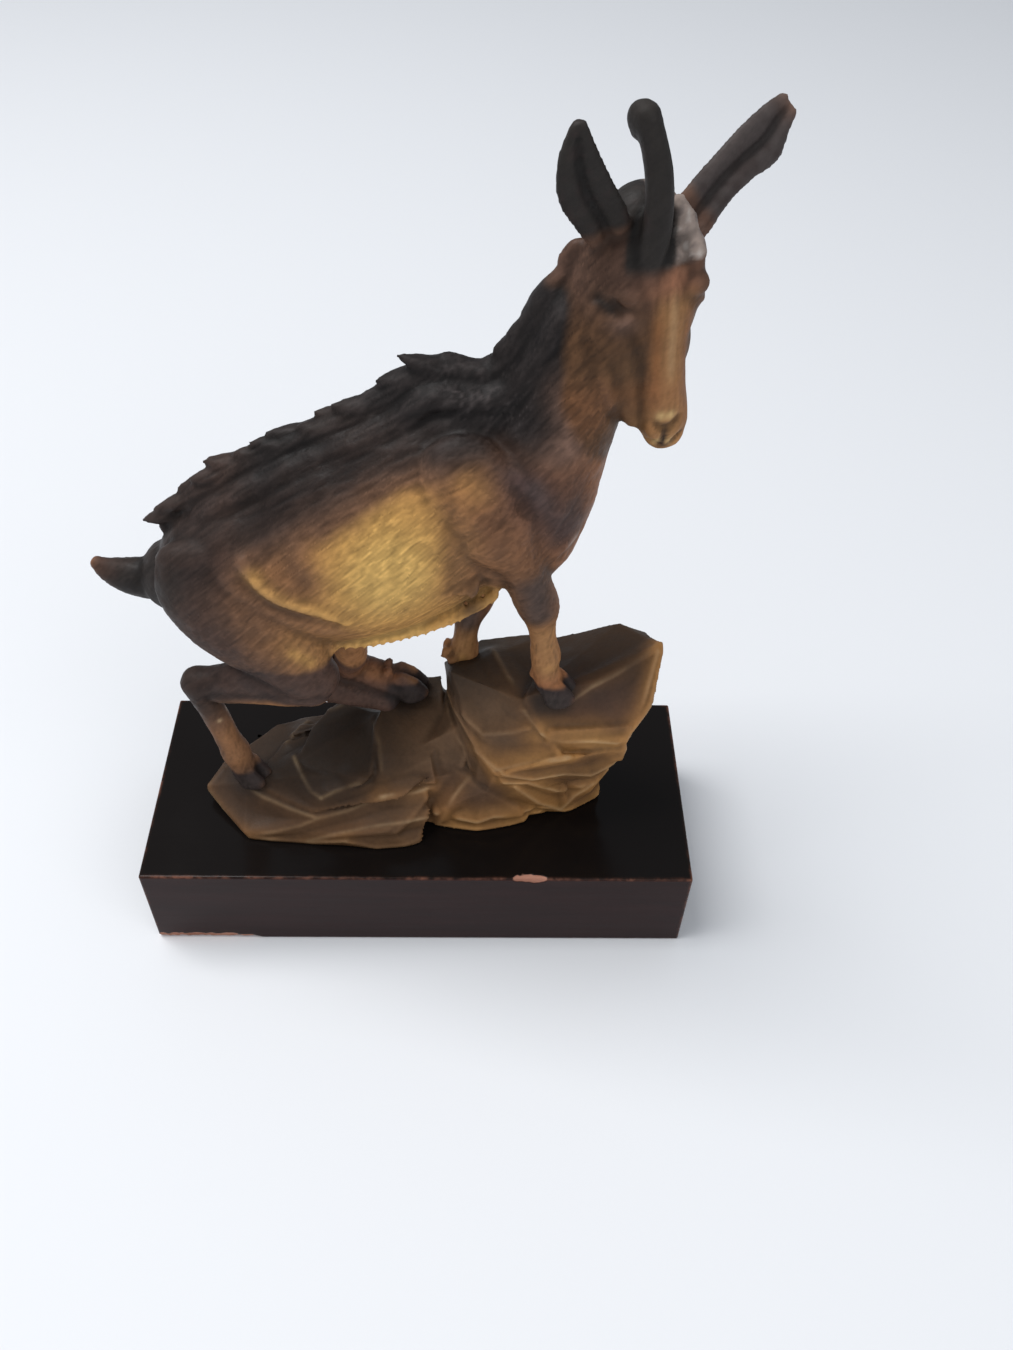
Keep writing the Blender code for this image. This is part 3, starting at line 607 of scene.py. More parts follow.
# Lines and stations of the face: down the muzzle, out of the forehead and to the side.
EYE = ((0.10, 0.49, 1.25), (0.13, 0.57, 1.14), (0.15, 0.67, 1.01))
BROW = ((0.08, 0.44, 1.30), (0.08, 0.59, 1.11), (0.10, 0.92, 0.89))
LID = ((0.20, 0.62, 1.06), (0.22, 0.71, 0.87), (0.19, 0.81, 0.78))
JAW = ((0.32, 0.52, 1.42), (0.51, 0.53, 1.31), (0.68, 0.34, 1.03), (0.81, 0.0, 0.52))
NOSTRIL = ((0.76, 0.66, 0.32), (0.79, 0.63, 0.18), (0.81, 0.60, 0.08))
LIPS = ((0.83, 0.33, 0.49), (0.88, 0.50, 0.30), (0.93, 0.38, 0.06))
SPLIT = ((0.80, 0.62, 0.0), (0.86, 0.54, 0.0), (0.93, 0.34, 0.0))
SCAR_EDGE = ((-0.04, 1.03, 0.05), (-0.02, 0.86, -0.31), (0.0, 0.70, -0.78))
# The cheek's stations, each with its width and depth.
CHEEK = (
    (0.14, 0.40, 0.98, 0.50, 0.30),
    (0.36, 0.36, 0.98, 0.55, 0.30),
    (0.59, 0.10, 0.75, 0.50, 0.30),
    (0.77, 0.05, 0.45, 0.30, 0.26),
)
# Share of the way down, width, front, back and lean of the skull's stations.
SKULL = (
    (-0.17, 0.72, 0.70, 0.62, 0.16),
    (-0.04, 1.04, 0.97, 0.92, 0.18),
    (0.10, 1.14, 1.02, 1.02, 0.18),
    (0.24, 1.05, 0.96, 1.10, 0.15),
    (0.40, 0.78, 0.86, 1.06, 0.09),
    (0.56, 0.60, 0.78, 0.90, -0.01),
    (0.70, 0.55, 0.71, 0.72, -0.07),
    (0.82, 0.54, 0.60, 0.42, -0.12),
    (0.88, 0.44, 0.46, 0.28, -0.14),
)
# Place and half sizes of each side's brow, cheekbone, jaw and nostril.
FACE_EGGS = (
    ((0.10, 0.62, 0.68), (0.26, 0.36, 0.30)),
    ((0.17, 0.50, 0.80), (0.20, 0.24, 0.20)),
    ((0.40, -0.26, 0.50), (0.84, 0.66, 0.40)),
    ((0.825, 0.50, 0.24), (0.17, 0.14, 0.15)),
)
# How much nearer the middle the left side's lie.
LEFT_SHARE = 0.84
TEMPLE = ((-0.02, 0.50, -0.57), (0.50, 0.38, 0.28))
CHIN = ((0.83, -0.10, 0), (0.30, 0.26, 0.36))
# Shares of the neck's length, then the shift forward and the half width in shares of its width.
THROAT = ((0.5, 0.8, 1.02), -0.29, 0.20)
# The ears' root in shares of the head, and the strips of an ear: which rim, and how wide.
EAR_ROOT = (-0.10, -0.10, 0.44)
EAR_STRIPS = ((-1, 0.42), (0, 0.46), (1, 0.42))
# Share of the way up, width and lean of the horn's stations, then angle and width over its hook.
HORN = ((-0.16, 1.18, -0.26), (0.0, 1.02, -0.18), (0.25, 0.96, 0.10), (0.55, 0.90, 0.12), (0.84, 0.82, -0.20))
HOOK = ((60, 0.82), (120, 0.78), (180, 0.70))
# The lumps of the scar: down, right and size, in shares of its size.
SCAR = ((0.0, 0.0, 1.0), (-0.35, 0.10, 0.7), (0.30, -0.08, 0.6), (0.05, 0.22, 0.5))


@dataclass(frozen=True)
class Ear:
    """How one ear is turned and shaped.

    Args:
        turn: How far it points up, outward and ahead.
        facing: How far its hollow faces outward.
        share: Its length and width, in shares of the head's sizes for an ear.
        outline: Rows of share of the way up, width and shift to one side.
    """

    turn: tuple[float, float, float]
    facing: float
    share: tuple[float, float]
    outline: tuple[tuple[float, float, float], ...]


EARS = {
    Flank.RIGHT: Ear((0.88, 0.41, 0.24), 0.65, (1.0, 1.0), (
        (-0.10, 0.50, 0.02),
        (0.06, 0.72, 0.02),
        (0.25, 0.94, -0.03),
        (0.50, 0.96, -0.18),
        (0.75, 0.66, -0.16),
        (0.94, 0.26, -0.03),
    )),
    Flank.LEFT: Ear((0.80, 1.20, 0.28), 0.05, (1.02, 0.96), (
        (-0.12, 1.02, 0.20),
        (0.08, 0.94, 0.14),
        (0.30, 0.86, 0.05),
        (0.52, 0.90, 0.04),
        (0.70, 1.00, 0.08),
        (0.84, 0.74, 0.0),
        (0.95, 0.52, -0.03),
    )),
}


@dataclass
class Head:
    """The head with its ears, its one horn and the scar of the other."""

    pose: Pose
    ear_length: float = 0.0232
    ear_width: float = 0.0080
    horn_length: float = 0.0238
    horn_width: float = 0.0045
    scar_size: float = 0.0058

    def model(self, clay: Clay) -> None:
        """Add the skull, brows, cheeks, lips, ears, horn and scar."""
        head, neck = self.pose.face(), self.pose.neck()
        length, half = self.pose.head_length, self.pose.head_width / 2
        rows = []
        for along, wide, front, back, lean in SKULL:
            centre = head.at(along * length, (front - back) * half / 2, 0)
            centre = centre - np.array([lean * half, 0, 0])
            rows.append((*centre, wide * half, (front + back) * half / 2))
        clay.add(limb(rows, head.rows[2], 40, 6, 2.1))
        for flank in Flank:
            near = 1.0 if flank is Flank.RIGHT else LEFT_SHARE
            for (down, out, side), radii in FACE_EGGS:
                centre = head.at(down * length, out * half, flank.value * near * side * half)
                clay.add(egg(centre, [half * share for share in radii], head, 16))
        self.cheek(clay)
        self.lump(clay, TEMPLE, 18)
        along, shift, wide = THROAT
        width = self.pose.neck_width
        throat = [neck.at(share * self.pose.neck_length, 0, shift * width) for share in along]
        clay.add(limb([(*spot, wide * width, wide * width) for spot in throat], (0, 1, 0), 24, 5))
        self.lump(clay, CHIN, 16)
        for flank in Flank:
            self.ear(clay, flank)
        self.horn(clay)
        self.scar(clay)

    def lump(self, clay: Clay, lump: tuple[Sequence[float], Sequence[float]], sides: int) -> None:
        """Add an egg by shares of the head's length and half width."""
        head, half = self.pose.face(), self.pose.head_width / 2
        (down, out, side), radii = lump
        centre = head.at(down * self.pose.head_length, out * half, side * half)
        clay.add(egg(centre, [share * half for share in radii], head, sides))

    def cheek(self, clay: Clay) -> None:
        """Add the flat near cheek, which stands clear of the neck down to the jaw's edge."""
        head = self.pose.face()
        half = self.pose.head_width / 2
        rows = []
        for down, front, right, wide, deep in CHEEK:
            centre = head.at(down * self.pose.head_length, front * half, right * half)
            rows.append((*centre, wide * half, deep * half))
        clay.add(limb(rows, (1, 0, 0), 32, 6, 2.4))

    def ear_stem(self, flank: Flank) -> tuple[np.ndarray, np.ndarray]:
        """Return an ear's root and the way it points."""
        head, way, width = self.pose.head(), flank.value, self.pose.head_width
        down, front, out = EAR_ROOT
        lift, outward, forward = EARS[flank].turn
        root = head.at(down * self.pose.head_length, front * width, way * out * width)
        return root, head.along(-lift, forward, way * outward)

    def ear_axis(self, flank: Flank) -> np.ndarray:
        """Return an ear's root and tip."""
        root, rise = self.ear_stem(flank)
        return np.array([root, root + EARS[flank].share[0] * self.ear_length * rise])

    def ear(self, clay: Clay, flank: Flank) -> None:
        """Add a leaf-shaped ear with a hollow front, as three overlapping strips."""
        ear = EARS[flank]
        root, rise = self.ear_stem(flank)
        length, width = ear.share[0] * self.ear_length, ear.share[1] * self.ear_width
        facing = self.pose.head().along(-0.30, 0.70, flank.value * ear.facing)
        side = unit(np.cross(rise, facing))
        hollow = unit(np.cross(side, rise))
        for rim, part in EAR_STRIPS:
            rows = []
            for along, wide, shift in ear.outline:
                centre = root + along * length * rise + (shift + 0.30 * rim * wide) * width * side
                centre = centre + abs(rim) * wide * 0.13 * width * hollow
                rows.append((*centre, part * 0.55 * wide * width, 0.105 * self.ear_width))
            clay.add(limb(rows, side, 20, 5))

    def horn_rows(self) -> list[tuple[float, ...]]:
        """Return the right horn's stations, from its root over the hook to its blunt end."""
        head = self.pose.head()
        width = self.horn_width
        half = self.pose.head_width / 2
        root = self.pose.face().at(-0.02 * self.pose.head_length, 0.74 * half, 0.25 * half)
        rise = unit(-head.rows[0] + 0.06 * head.rows[1] + 0.13 * head.rows[2] + np.array([0.11, 0, 0]))
        back = unit(-head.rows[1] + 0.05 * head.rows[2])
        bend = 0.235 * width
        rows = []
        for along, wide, lean in HORN:
            centre = root + along * self.horn_length * (rise + 0.04 * back)
            centre = centre + np.array([lean * width, 0, 0])
            rows.append((*centre, wide * width / 2, wide * width / 2))
        top = np.array(rows[-1][:3])
        for angle, wide in HOOK:
            turn = math.radians(angle)
            centre = top + bend * (math.sin(turn) * rise + (1 - math.cos(turn)) * back)
            rows.append((*centre, wide * width / 2, wide * width / 2))
        centre = top + 1.9 * bend * back - 0.34 * width * rise
        rows.append((*centre, 0.24 * width, 0.24 * width))
        return rows

    def horn(self, clay: Clay) -> None:
        """Add the right horn, which hooks back and down and is fused in the crook."""
        head = self.pose.head()
        rows = self.horn_rows()
        clay.add(limb(rows, head.rows[2], 24, 6))
        size = 0.44 * self.horn_width
        middle = (np.array(rows[4][:3]) + np.array(rows[7][:3])) / 2
        clay.add(egg(middle, (size, size, 0.40 * self.horn_width), head, 16))

    def scar(self, clay: Clay) -> None:
        """Add the low rough stump where the left horn has broken off."""
        head = self.pose.face()
        width = self.pose.head_width
        root = head.at(-0.16 * self.pose.head_length, 0.27 * width, -0.20 * width)
        for down, right, size in SCAR:
            centre = root + self.scar_size * (down * head.rows[0] + right * head.rows[2])
            radii = np.array([0.46 * size, 0.26, 0.40 * size]) * self.scar_size
            clay.add(egg(centre, radii, head, 14))

    def line(self, way: int, *stops: tuple[float, float, float]) -> np.ndarray:
        """Place a path by shares of the head's length and half width, on either side."""
        half = self.pose.head_width / 2
        head = self.pose.face()
        length = self.pose.head_length
        return np.array([head.at(a * length, f * half, way * r * half) for a, f, r in stops])

    def carve(self, skin: Skin) -> None:
        """Cut the eye sockets, lids, nostrils, lips and cheeks into the fused skin."""
        for flank in Flank:
            way = flank.value
            for path, width, height in (
                (EYE, 0.0012, -0.0007),
                (BROW, 0.0009, 0.0004),
                (LID, 0.0008, 0.0003),
                (EYE[1:], 0.0007, 0.0004),
                (NOSTRIL, 0.0005, -0.0006),
                (LIPS, 0.0004, -0.0005),
            ):
                skin.trace(self.line(way, *path), width, height)
            skin.trace(self.line(way, *JAW) + np.array([-0.0008 * way, 0, 0]), 0.0012, -0.0004)
        skin.trace(self.line(1, *SPLIT), 0.0004, -0.0005)
        skin.trace(self.line(1, *SCAR_EDGE), 0.0006, -0.0003)


# Share of the way up, shift forward and away, width and depth of each foreleg's stations.
NEAR_FORE = (
    (1.00, 0.0, 0.0, 1.00, 1.55),
    (0.87, 0.05, -0.16, 1.35, 2.20),
    (0.73, 0.34, -0.14, 1.14, 1.16),
    (0.60, 0.37, -0.10, 1.00, 1.04),
    (0.48, 0.40, -0.04, 0.95, 1.04),
    (0.39, 0.33, 0.0, 0.70, 0.74),
    (0.30, 0.24, 0.0, 0.62, 0.64),
    (0.21, 0.15, 0.0, 0.74, 0.76),
    (0.14, 0.05, 0.0, 0.66, 0.68),
    (0.05, 0.0, 0.0, 0.70, 0.74),
)
FAR_FORE = (
    (1.00, 0.0, 0.0, 1.00, 1.50),
    (0.86, 0.0, 0.12, 1.28, 1.90),
    (0.68, -0.02, 0.06, 1.14, 1.30),
    (0.50, 0.20, 0.04, 1.02, 1.25),
    (0.36, 0.24, 0.02, 1.00, 1.10),
    (0.25, 0.08, 0.0, 0.70, 0.74),
    (0.17, 0.02, 0.0, 0.62, 0.64),
    (0.11, 0.0, 0.0, 0.74, 0.76),
    (0.05, 0.0, 0.0, 0.70, 0.74),
)
# Share of the way down, shift back, width and depth of each thigh's stations.
NEAR_THIGH = (
    (0.0, 0.22, 1.15, 2.5),
    (0.25, 0.47, 1.60, 3.1),
    (0.50, 0.30, 1.70, 3.1),
    (0.75, 0.05, 1.5, 2.4),
    (1.0, 0.0, 1.20, 1.55),
)
FAR_THIGH = ((0.0, 0.0, 1.1, 2.1), (0.35, 0.0, 1.5, 2.7), (0.7, 0.0, 1.35, 2.0), (1.0, 0.0, 1.1, 1.3))
# Share of the way, width and depth of the other bones' stations.
NEAR_SHANK = (
    (0.0, 1.20, 1.30), (0.3, 1.08, 1.14), (0.6, 0.88, 0.96), (0.85, 0.74, 0.84), (1.0, 0.80, 0.92),
)
NEAR_WEB = ((0.0, 1.1, 1.5), (0.5, 1.0, 1.4), (1.0, 0.6, 0.8))
FAR_SHANK = ((0.0, 1.05, 1.05), (0.5, 0.92, 0.92), (1.0, 0.90, 0.90))
FAR_FILL = ((0.0, 0.9, 0.9), (0.5, 0.9, 0.9), (1.0, 0.7, 0.7))
FAR_WEB = ((0.0, 0.9, 0.9), (0.5, 0.9, 0.9), (1.0, 0.8, 0.8))
# Share of the way and thickness of the cannons' stations.
NEAR_CANNON = (
    (0.0, 0.86), (0.15, 0.74), (0.40, 0.66), (0.62, 0.70), (0.74, 0.82), (0.84, 0.72), (0.97, 0.78),
)
FAR_CANNON = ((0.0, 0.92), (0.3, 0.86), (0.6, 0.84), (0.82, 0.90), (0.98, 0.80))
# Which way each hoof points.
TOES = {
    "near_fore": (1, -0.25, 0),
    "far_fore": (0.9, -0.1, 0),
    "near_hind": (1, -0.35, 0),
    "far_hind": (1, 0, 0),
}
# Shift forward, height, half width and half height of a toe's stations, in shares of its width.
TOE = ((-0.22, 0.62, 0.20, 0.30), (0.05, 0.30, 0.23, 0.42), (0.26, -0.10, 0.25, 0.50))


@dataclass
class Legs:
    """The four legs, braced in front and folded behind."""

    pose: Pose

    def model(self, clay: Clay) -> None:
        """Add the legs and their cloven hooves."""
        place = self.pose.hooves()
        self.fore(clay, self.joint(0.82, -0.28, 0.16), place["near_fore"], NEAR_FORE)
        self.fore(clay, self.joint(0.80, 0.28, 0.16), place["far_fore"], FAR_FORE)
        self.near_hind(clay, place["near_hind"])
        self.far_hind(clay, place["far_hind"])
        for name, ahead in TOES.items():
            self.hoof(clay, place[name], ahead)

    def joint(self, along: float, across: float, up: float) -> np.ndarray:
        """Place a joint by shares of the body's length, width and depth."""
        pose = self.pose
        return pose.body().at(along * pose.body_length, across * pose.body_width, up * pose.body_depth)

    def step(self, ahead: float, away: float, up: float) -> np.ndarray:
        """Return a shift in shares of the legs' width."""
        return np.array([ahead, away, up]) * self.pose.leg_width

    def near_hind(self, clay: Clay, foot: np.ndarray) -> None:
        """Add the near hind leg, with the loose skin behind its shank."""
        hip, knee = self.joint(0.20, -0.20, 0.16), self.joint(0.245, -0.32, -0.58)
        self.thigh(clay, hip, knee, NEAR_THIGH, -0.12)
        hock = foot + self.step(-0.66, -0.36, 4.20)
        self.bone(clay, knee, hock, NEAR_SHANK)
        low = self.step(0.1, -0.08, -0.44)
        slack = [(share, 0.90 * wide, 0.86 * deep) for share, wide, deep in NEAR_SHANK[:-1]]
        self.bone(clay, knee + low, hock + low * (1, 0, 0.70), slack)
        low = self.step(0.25, -0.10, 0.05)
        self.bone(clay, knee + low, hock + 0.15 * (knee - hock), NEAR_WEB)
        self.bone(clay, hock, foot, [(share, thick, thick) for share, thick in NEAR_CANNON])

    def far_hind(self, clay: Clay, foot: np.ndarray) -> None:
        """Add the far hind leg, folded low, with the shapes that fill the space under it."""
        knee = foot + self.step(-1.45, 0.30, 2.60)
        self.thigh(clay, self.joint(0.22, 0.20, 0.14), knee, FAR_THIGH, 0.12)
        hock = foot + self.step(-2.80, 0.25, 1.15)
        self.bone(clay, knee, hock, FAR_SHANK)
        self.bone(clay, hock, foot, [(share, thick, thick) for share, thick in FAR_CANNON], 0.12)
        low = self.step(0, -0.26, -0.50)
        back = low + self.step(-1.1, -0.1, 0.10)
        self.bone(clay, hock + back, hock + 0.80 * (foot - hock) + low, FAR_FILL)
        self.bone(clay, knee + self.step(0.1, -0.9, 0.1), hock + 0.45 * (foot - hock), FAR_WEB)

    def fore(self, clay: Clay, root: np.ndarray, hoof: np.ndarray, rows: Sequence[Sequence[float]]) -> None:
        """Add a foreleg; each row has its share of the way up, its offsets and its half widths."""
        half = self.pose.leg_width / 2
        path = []
        for up, forward, away, wide, deep in rows:
            centre = hoof + up * (root - hoof) + self.step(forward, away, 0)
            path.append((*centre, wide * half, deep * half))
        clay.add(limb(path, (0, 1, 0), 28, 6))

    def thigh(
        self, clay: Clay, hip: np.ndarray, knee: np.ndarray, rows: Sequence[Sequence[float]], out: float
    ) -> None:
        """Add a thigh; each row has its share of the way down, its offset back and its widths."""
        half = self.pose.leg_width / 2
        path = []
        for down, back, wide, deep in rows:
            centre = hip + down * (knee - hip) + self.step(-back, out, 0)
            path.append((*centre, wide * half, deep * half))
        clay.add(limb(path, (0, 1, 0), 32, 6))

    def bone(
        self,
        clay: Clay,
        start: np.ndarray,
        end: np.ndarray,
        rows: Sequence[Sequence[float]],
        bow: float = 0.0,
    ) -> None:
        """Add a straight stretch of leg; each row has its share of the way and its widths."""
        half = self.pose.leg_width / 2
        path = []
        for share, wide, deep in rows:
            lift = bow * math.sin(math.pi * min(share * 0.9, 1.0))
            centre = start + share * (end - start) + self.step(0, 0, lift)
            path.append((*centre, wide * half, deep * half))
        clay.add(limb(path, (0, 1, 0), 24, 6))

    def hoof(self, clay: Clay, foot: np.ndarray, ahead: Sequence[float]) -> None:
        """Add a cloven hoof, two toes side by side, with two dew claws behind."""
        ahead = unit(ahead)
        across = unit(np.cross((0, 0, 1), ahead))
        width = self.pose.hoof_width
        for way in (-1, 1):
            start = foot + way * 0.22 * width * across
            rows = []
            for forward, up, wide, deep in TOE:
                centre = start + width * (forward * ahead + np.array([0, 0, up]))
                rows.append((*centre, wide * width, deep * width))
            clay.add(limb(rows, across, 18, 4))
            claw = foot + width * (-0.52 * ahead + way * 0.18 * across + np.array([0, 0, 0.95]))
            end = claw + width * (-0.06 * ahead + np.array([0, 0, -0.22]))
            rows = [(*claw, 0.13 * width, 0.13 * width), (*end, 0.10 * width, 0.10 * width)]
            clay.add(limb(rows, across, 12, 3))


# Share of the way, width and depth of a lock's stations.
LOCK = ((0.0, 0.55, 0.8), (0.30, 1.0, 1.0), (0.62, 0.86, 0.8), (0.86, 0.5, 0.5), (1.0, 0.2, 0.25))
# The crest's line: along and up in shares of the trunk, then along and back in shares of the neck.
CREST_BODY = ((0.08, 0.25), (0.22, 0.380), (0.38, 0.450), (0.54, 0.495), (0.68, 0.540), (0.79, 0.612))
CREST_NECK = ((0.42, 0.53), (0.60, 0.41), (0.80, 0.39), (0.98, 0.38))
# Direction, depth and width of the hair on the back, flank, neck, head and belly, in metres.
HAIR = (
    ((-0.84, 0, -0.54), 0.00018, 0.0010),
    ((-0.72, 0, -0.70), 0.00009, 0.00075),
    ((-0.55, -0.1, -0.84), 0.00014, 0.00085),
    ((0.05, -0.05, -1), 0.00004, 0.0008),
    ((-0.2, 0, -1), 0.00008, 0.0009),
)
# How deep a full stroke is pressed, in metres, and the two sizes of stroke: share and scale.
STROKE_DEPTH = 0.0003
STROKE_SIZES = ((0.65, 1.0), (0.35, 0.55))


@dataclass
class Coat:
    """The modelled hair: crest, belly fringe and tufts, and the fine strokes over the hide."""

    pose: Pose
    crest_lock: float = 0.0066
    fringe_lock: float = 0.0030

    def lock(
        self,
        clay: Clay,
        root: np.ndarray,
        way: Sequence[float],
        side: Sequence[float],
        length: float,
        width: float,
        thick: float,
    ) -> None:
        """Add one flat pointed lock of hair, which lifts a little towards its tip."""
        way = unit(way)
        curl = unit(np.cross(np.cross(way, (0, 0, 1)), way) + 1e-9)
        rows = []
        for along, wide, deep in LOCK:
            centre = root + along * length * way + 0.10 * length * along**2 * curl
            rows.append((*centre, wide * width / 2, deep * thick / 2))
        clay.add(limb(rows, side, 14, 3))

    def crest_line(self) -> np.ndarray:
        """Return the line of the crest, from the tail over the withers to the nape."""
        pose = self.pose
        points = []
        for along, up in CREST_BODY:
            points.append(pose.body().at(along * pose.body_length, 0, up * pose.body_depth))
        for along, back in CREST_NECK:
            points.append(pose.neck().at(along * pose.neck_length, 0, back * pose.neck_width))
        return np.array(points)

    def model(self, clay: Clay) -> None:
        """Add the crest, the fringe along the belly and the tufts."""
        line = spline(self.crest_line(), 10)
        run = np.concatenate([[0], np.cumsum(np.linalg.norm(np.diff(line, axis=0), axis=1))])
        size = self.crest_lock
        ahead = np.gradient(line, axis=0)
        ahead /= np.linalg.norm(ahead, axis=1)[:, None]
        rise = np.cross(ahead, (0, 1, 0))
        taper = np.clip(np.minimum(run, run[-1] - run) / (1.5 * size), 0.35, 1)
        for lift, wide, deep, part, sides in (
            (0.10, 0.42, 0.38, slice(None, None, 3), 24),
            (-0.30, 0.95, 0.46, slice(4, -8, 3), 28),
        ):
            rows = [
                (*(place + lift * size * up), wide * size * share, deep * size * share)
                for place, up, share in zip(line, rise, taper)
            ]
            clay.add(limb(rows[part], (0, 1, 0), sides, 4))
        count = int(run[-1] / (0.64 * size))
        for k in range(count):
            where = (k + 0.8) / count * run[-1]
            root, front, above = (
                np.array([np.interp(where, run, part[:, i]) for i in range(3)])
                for part in (line, ahead, rise)
            )
            small = 1 - 0.45 * float(ramp(np.array(where / run[-1]), 0.80, 0.97))
            length = small * size * (1.18 + 0.16 * math.sin(2.1 * k))
            shift = size * (0.40 * front + 0.12 * above + np.array([0, 0.10 * math.sin(3.7 * k), 0]))
            tip = -front + (0.33 + 0.05 * math.sin(5.3 * k)) * above
            wide, thick = 0.62 * small * size, 0.46 * small * size
            self.lock(clay, root + small * shift, tip, (0, 1, 0), length, wide, thick)
        self.fringe(clay)
        self.tufts(clay)

    def fringe(self, clay: Clay) -> None:
        """Add the row of small locks along the belly."""
        pose = self.pose
        size = self.fringe_lock
        count = int(0.44 * pose.body_length / (0.60 * size))
        for k in range(count):
            share = k / (count - 1)
            low = 0.575 - 0.065 * (2 * share - 0.8) ** 2
            along = (0.36 + 0.40 * share) * pose.body_length
            for side, lift in ((-0.285, 0.078), (-0.10, 0.0)):
                root = pose.body().at(along, side * pose.body_width, -(low - lift) * pose.body_depth)
                self.lock(clay, root, (-0.30, -0.25, -1), (1, 0, 0.35), size, 0.56 * size, 0.5 * size)

    def tufts(self, clay: Clay) -> None:
        """Add the shaggy locks at the stifle and the elbow."""
        pose = self.pose
        size = self.fringe_lock
        length, width, depth = pose.body_length, pose.body_width, pose.body_depth
        for k in range(6):
            across, up = (-0.43 + 0.022 * k) * width, (-0.47 + 0.017 * k) * depth
            root = pose.body().at((0.215 + 0.024 * k) * length, across, up)
            long = (1.15 + 0.2 * (k % 3)) * size
            self.lock(clay, root, (0.30, -0.10, -1), (1, 0, 0), long, 0.75 * size, 0.7 * size)
        for k in range(3):
            root = pose.body().at((0.70 + 0.02 * k) * length, -0.38 * width, (-0.22 - 0.02 * k) * depth)
            self.lock(clay, root, (-0.3, -0.2, -1), (1, 0, 0), 1.3 * size, 0.6 * size, 0.6 * size)

    def comb(self, skin: Skin) -> None:
        """Press hair strokes into the hide and keep their height as a value called strokes.

        Each stroke is noise stretched along the hair's direction. Its height is 1 minus the
        noise's size, so that strokes are round and the cuts between them narrow. Every region
        has its own direction and depth, and the regions are blended by soft masks.
        """
        pose = self.pose
        sizes = (
            (pose.body(), pose.body_length, pose.body_width, pose.body_depth),
            (pose.neck(), pose.neck_length, pose.neck_width, pose.neck_width),
            (pose.face(), pose.head_length, pose.head_width, pose.head_width),
        )
        in_body, in_neck, in_head = (
            axes.local(skin.points) / np.array([length, width / 2, depth / 2])
            for axes, length, width, depth in sizes
        )
        on_head = ramp(np.linalg.norm((in_head - (0.35, 0, 0)) / (0.66, 1.3, 1.3), axis=1), 1.15, 0.9)
        on_top = ramp(skin.points[:, 2], 0.155, 0.162)
        on_neck = ramp(in_neck[:, 0], 0.15, 0.45) * (1 - on_head)
        high = ramp(in_body[:, 2], 0.35, 0.85) * (1 - on_neck) * (1 - on_head)
        low = ramp(in_body[:, 2], -1.25, -1.55) * (1 - on_neck) * (1 - on_head)
        flank = np.clip(1 - on_neck - on_head - high - low, 0, 1)
        total = np.zeros(len(skin.points))
        masks = (high, flank, on_neck, on_head * (1 - on_top), low)
        for seed, (mask, (way, depth, wide)) in enumerate(zip(masks, HAIR)):
            along = unit(way)
            across = unit(np.cross(along, (0, 1, 0)))
            base = skin.points @ np.stack([along, across, (0, 1, 0)]).T
            height = np.zeros(len(skin.points))
            for share, scale in STROKE_SIZES:
                wave = 0.35 * cloud(base / (6 * wide), seed + 40)[:, None]
                stretched = base / (np.array([5.5, 1.0, 1.0]) * wide * scale) + wave
                noise = cloud(stretched, seed * 7 + int(scale * 10))
                height += share * (1 - 2.2 * np.abs(noise))
            total += mask * depth * height
        total *= 1 - on_top * ramp(skin.points[:, 0], 0.018, 0.021)
        skin.values["strokes"] = total / STROKE_DEPTH
        skin.push(total)


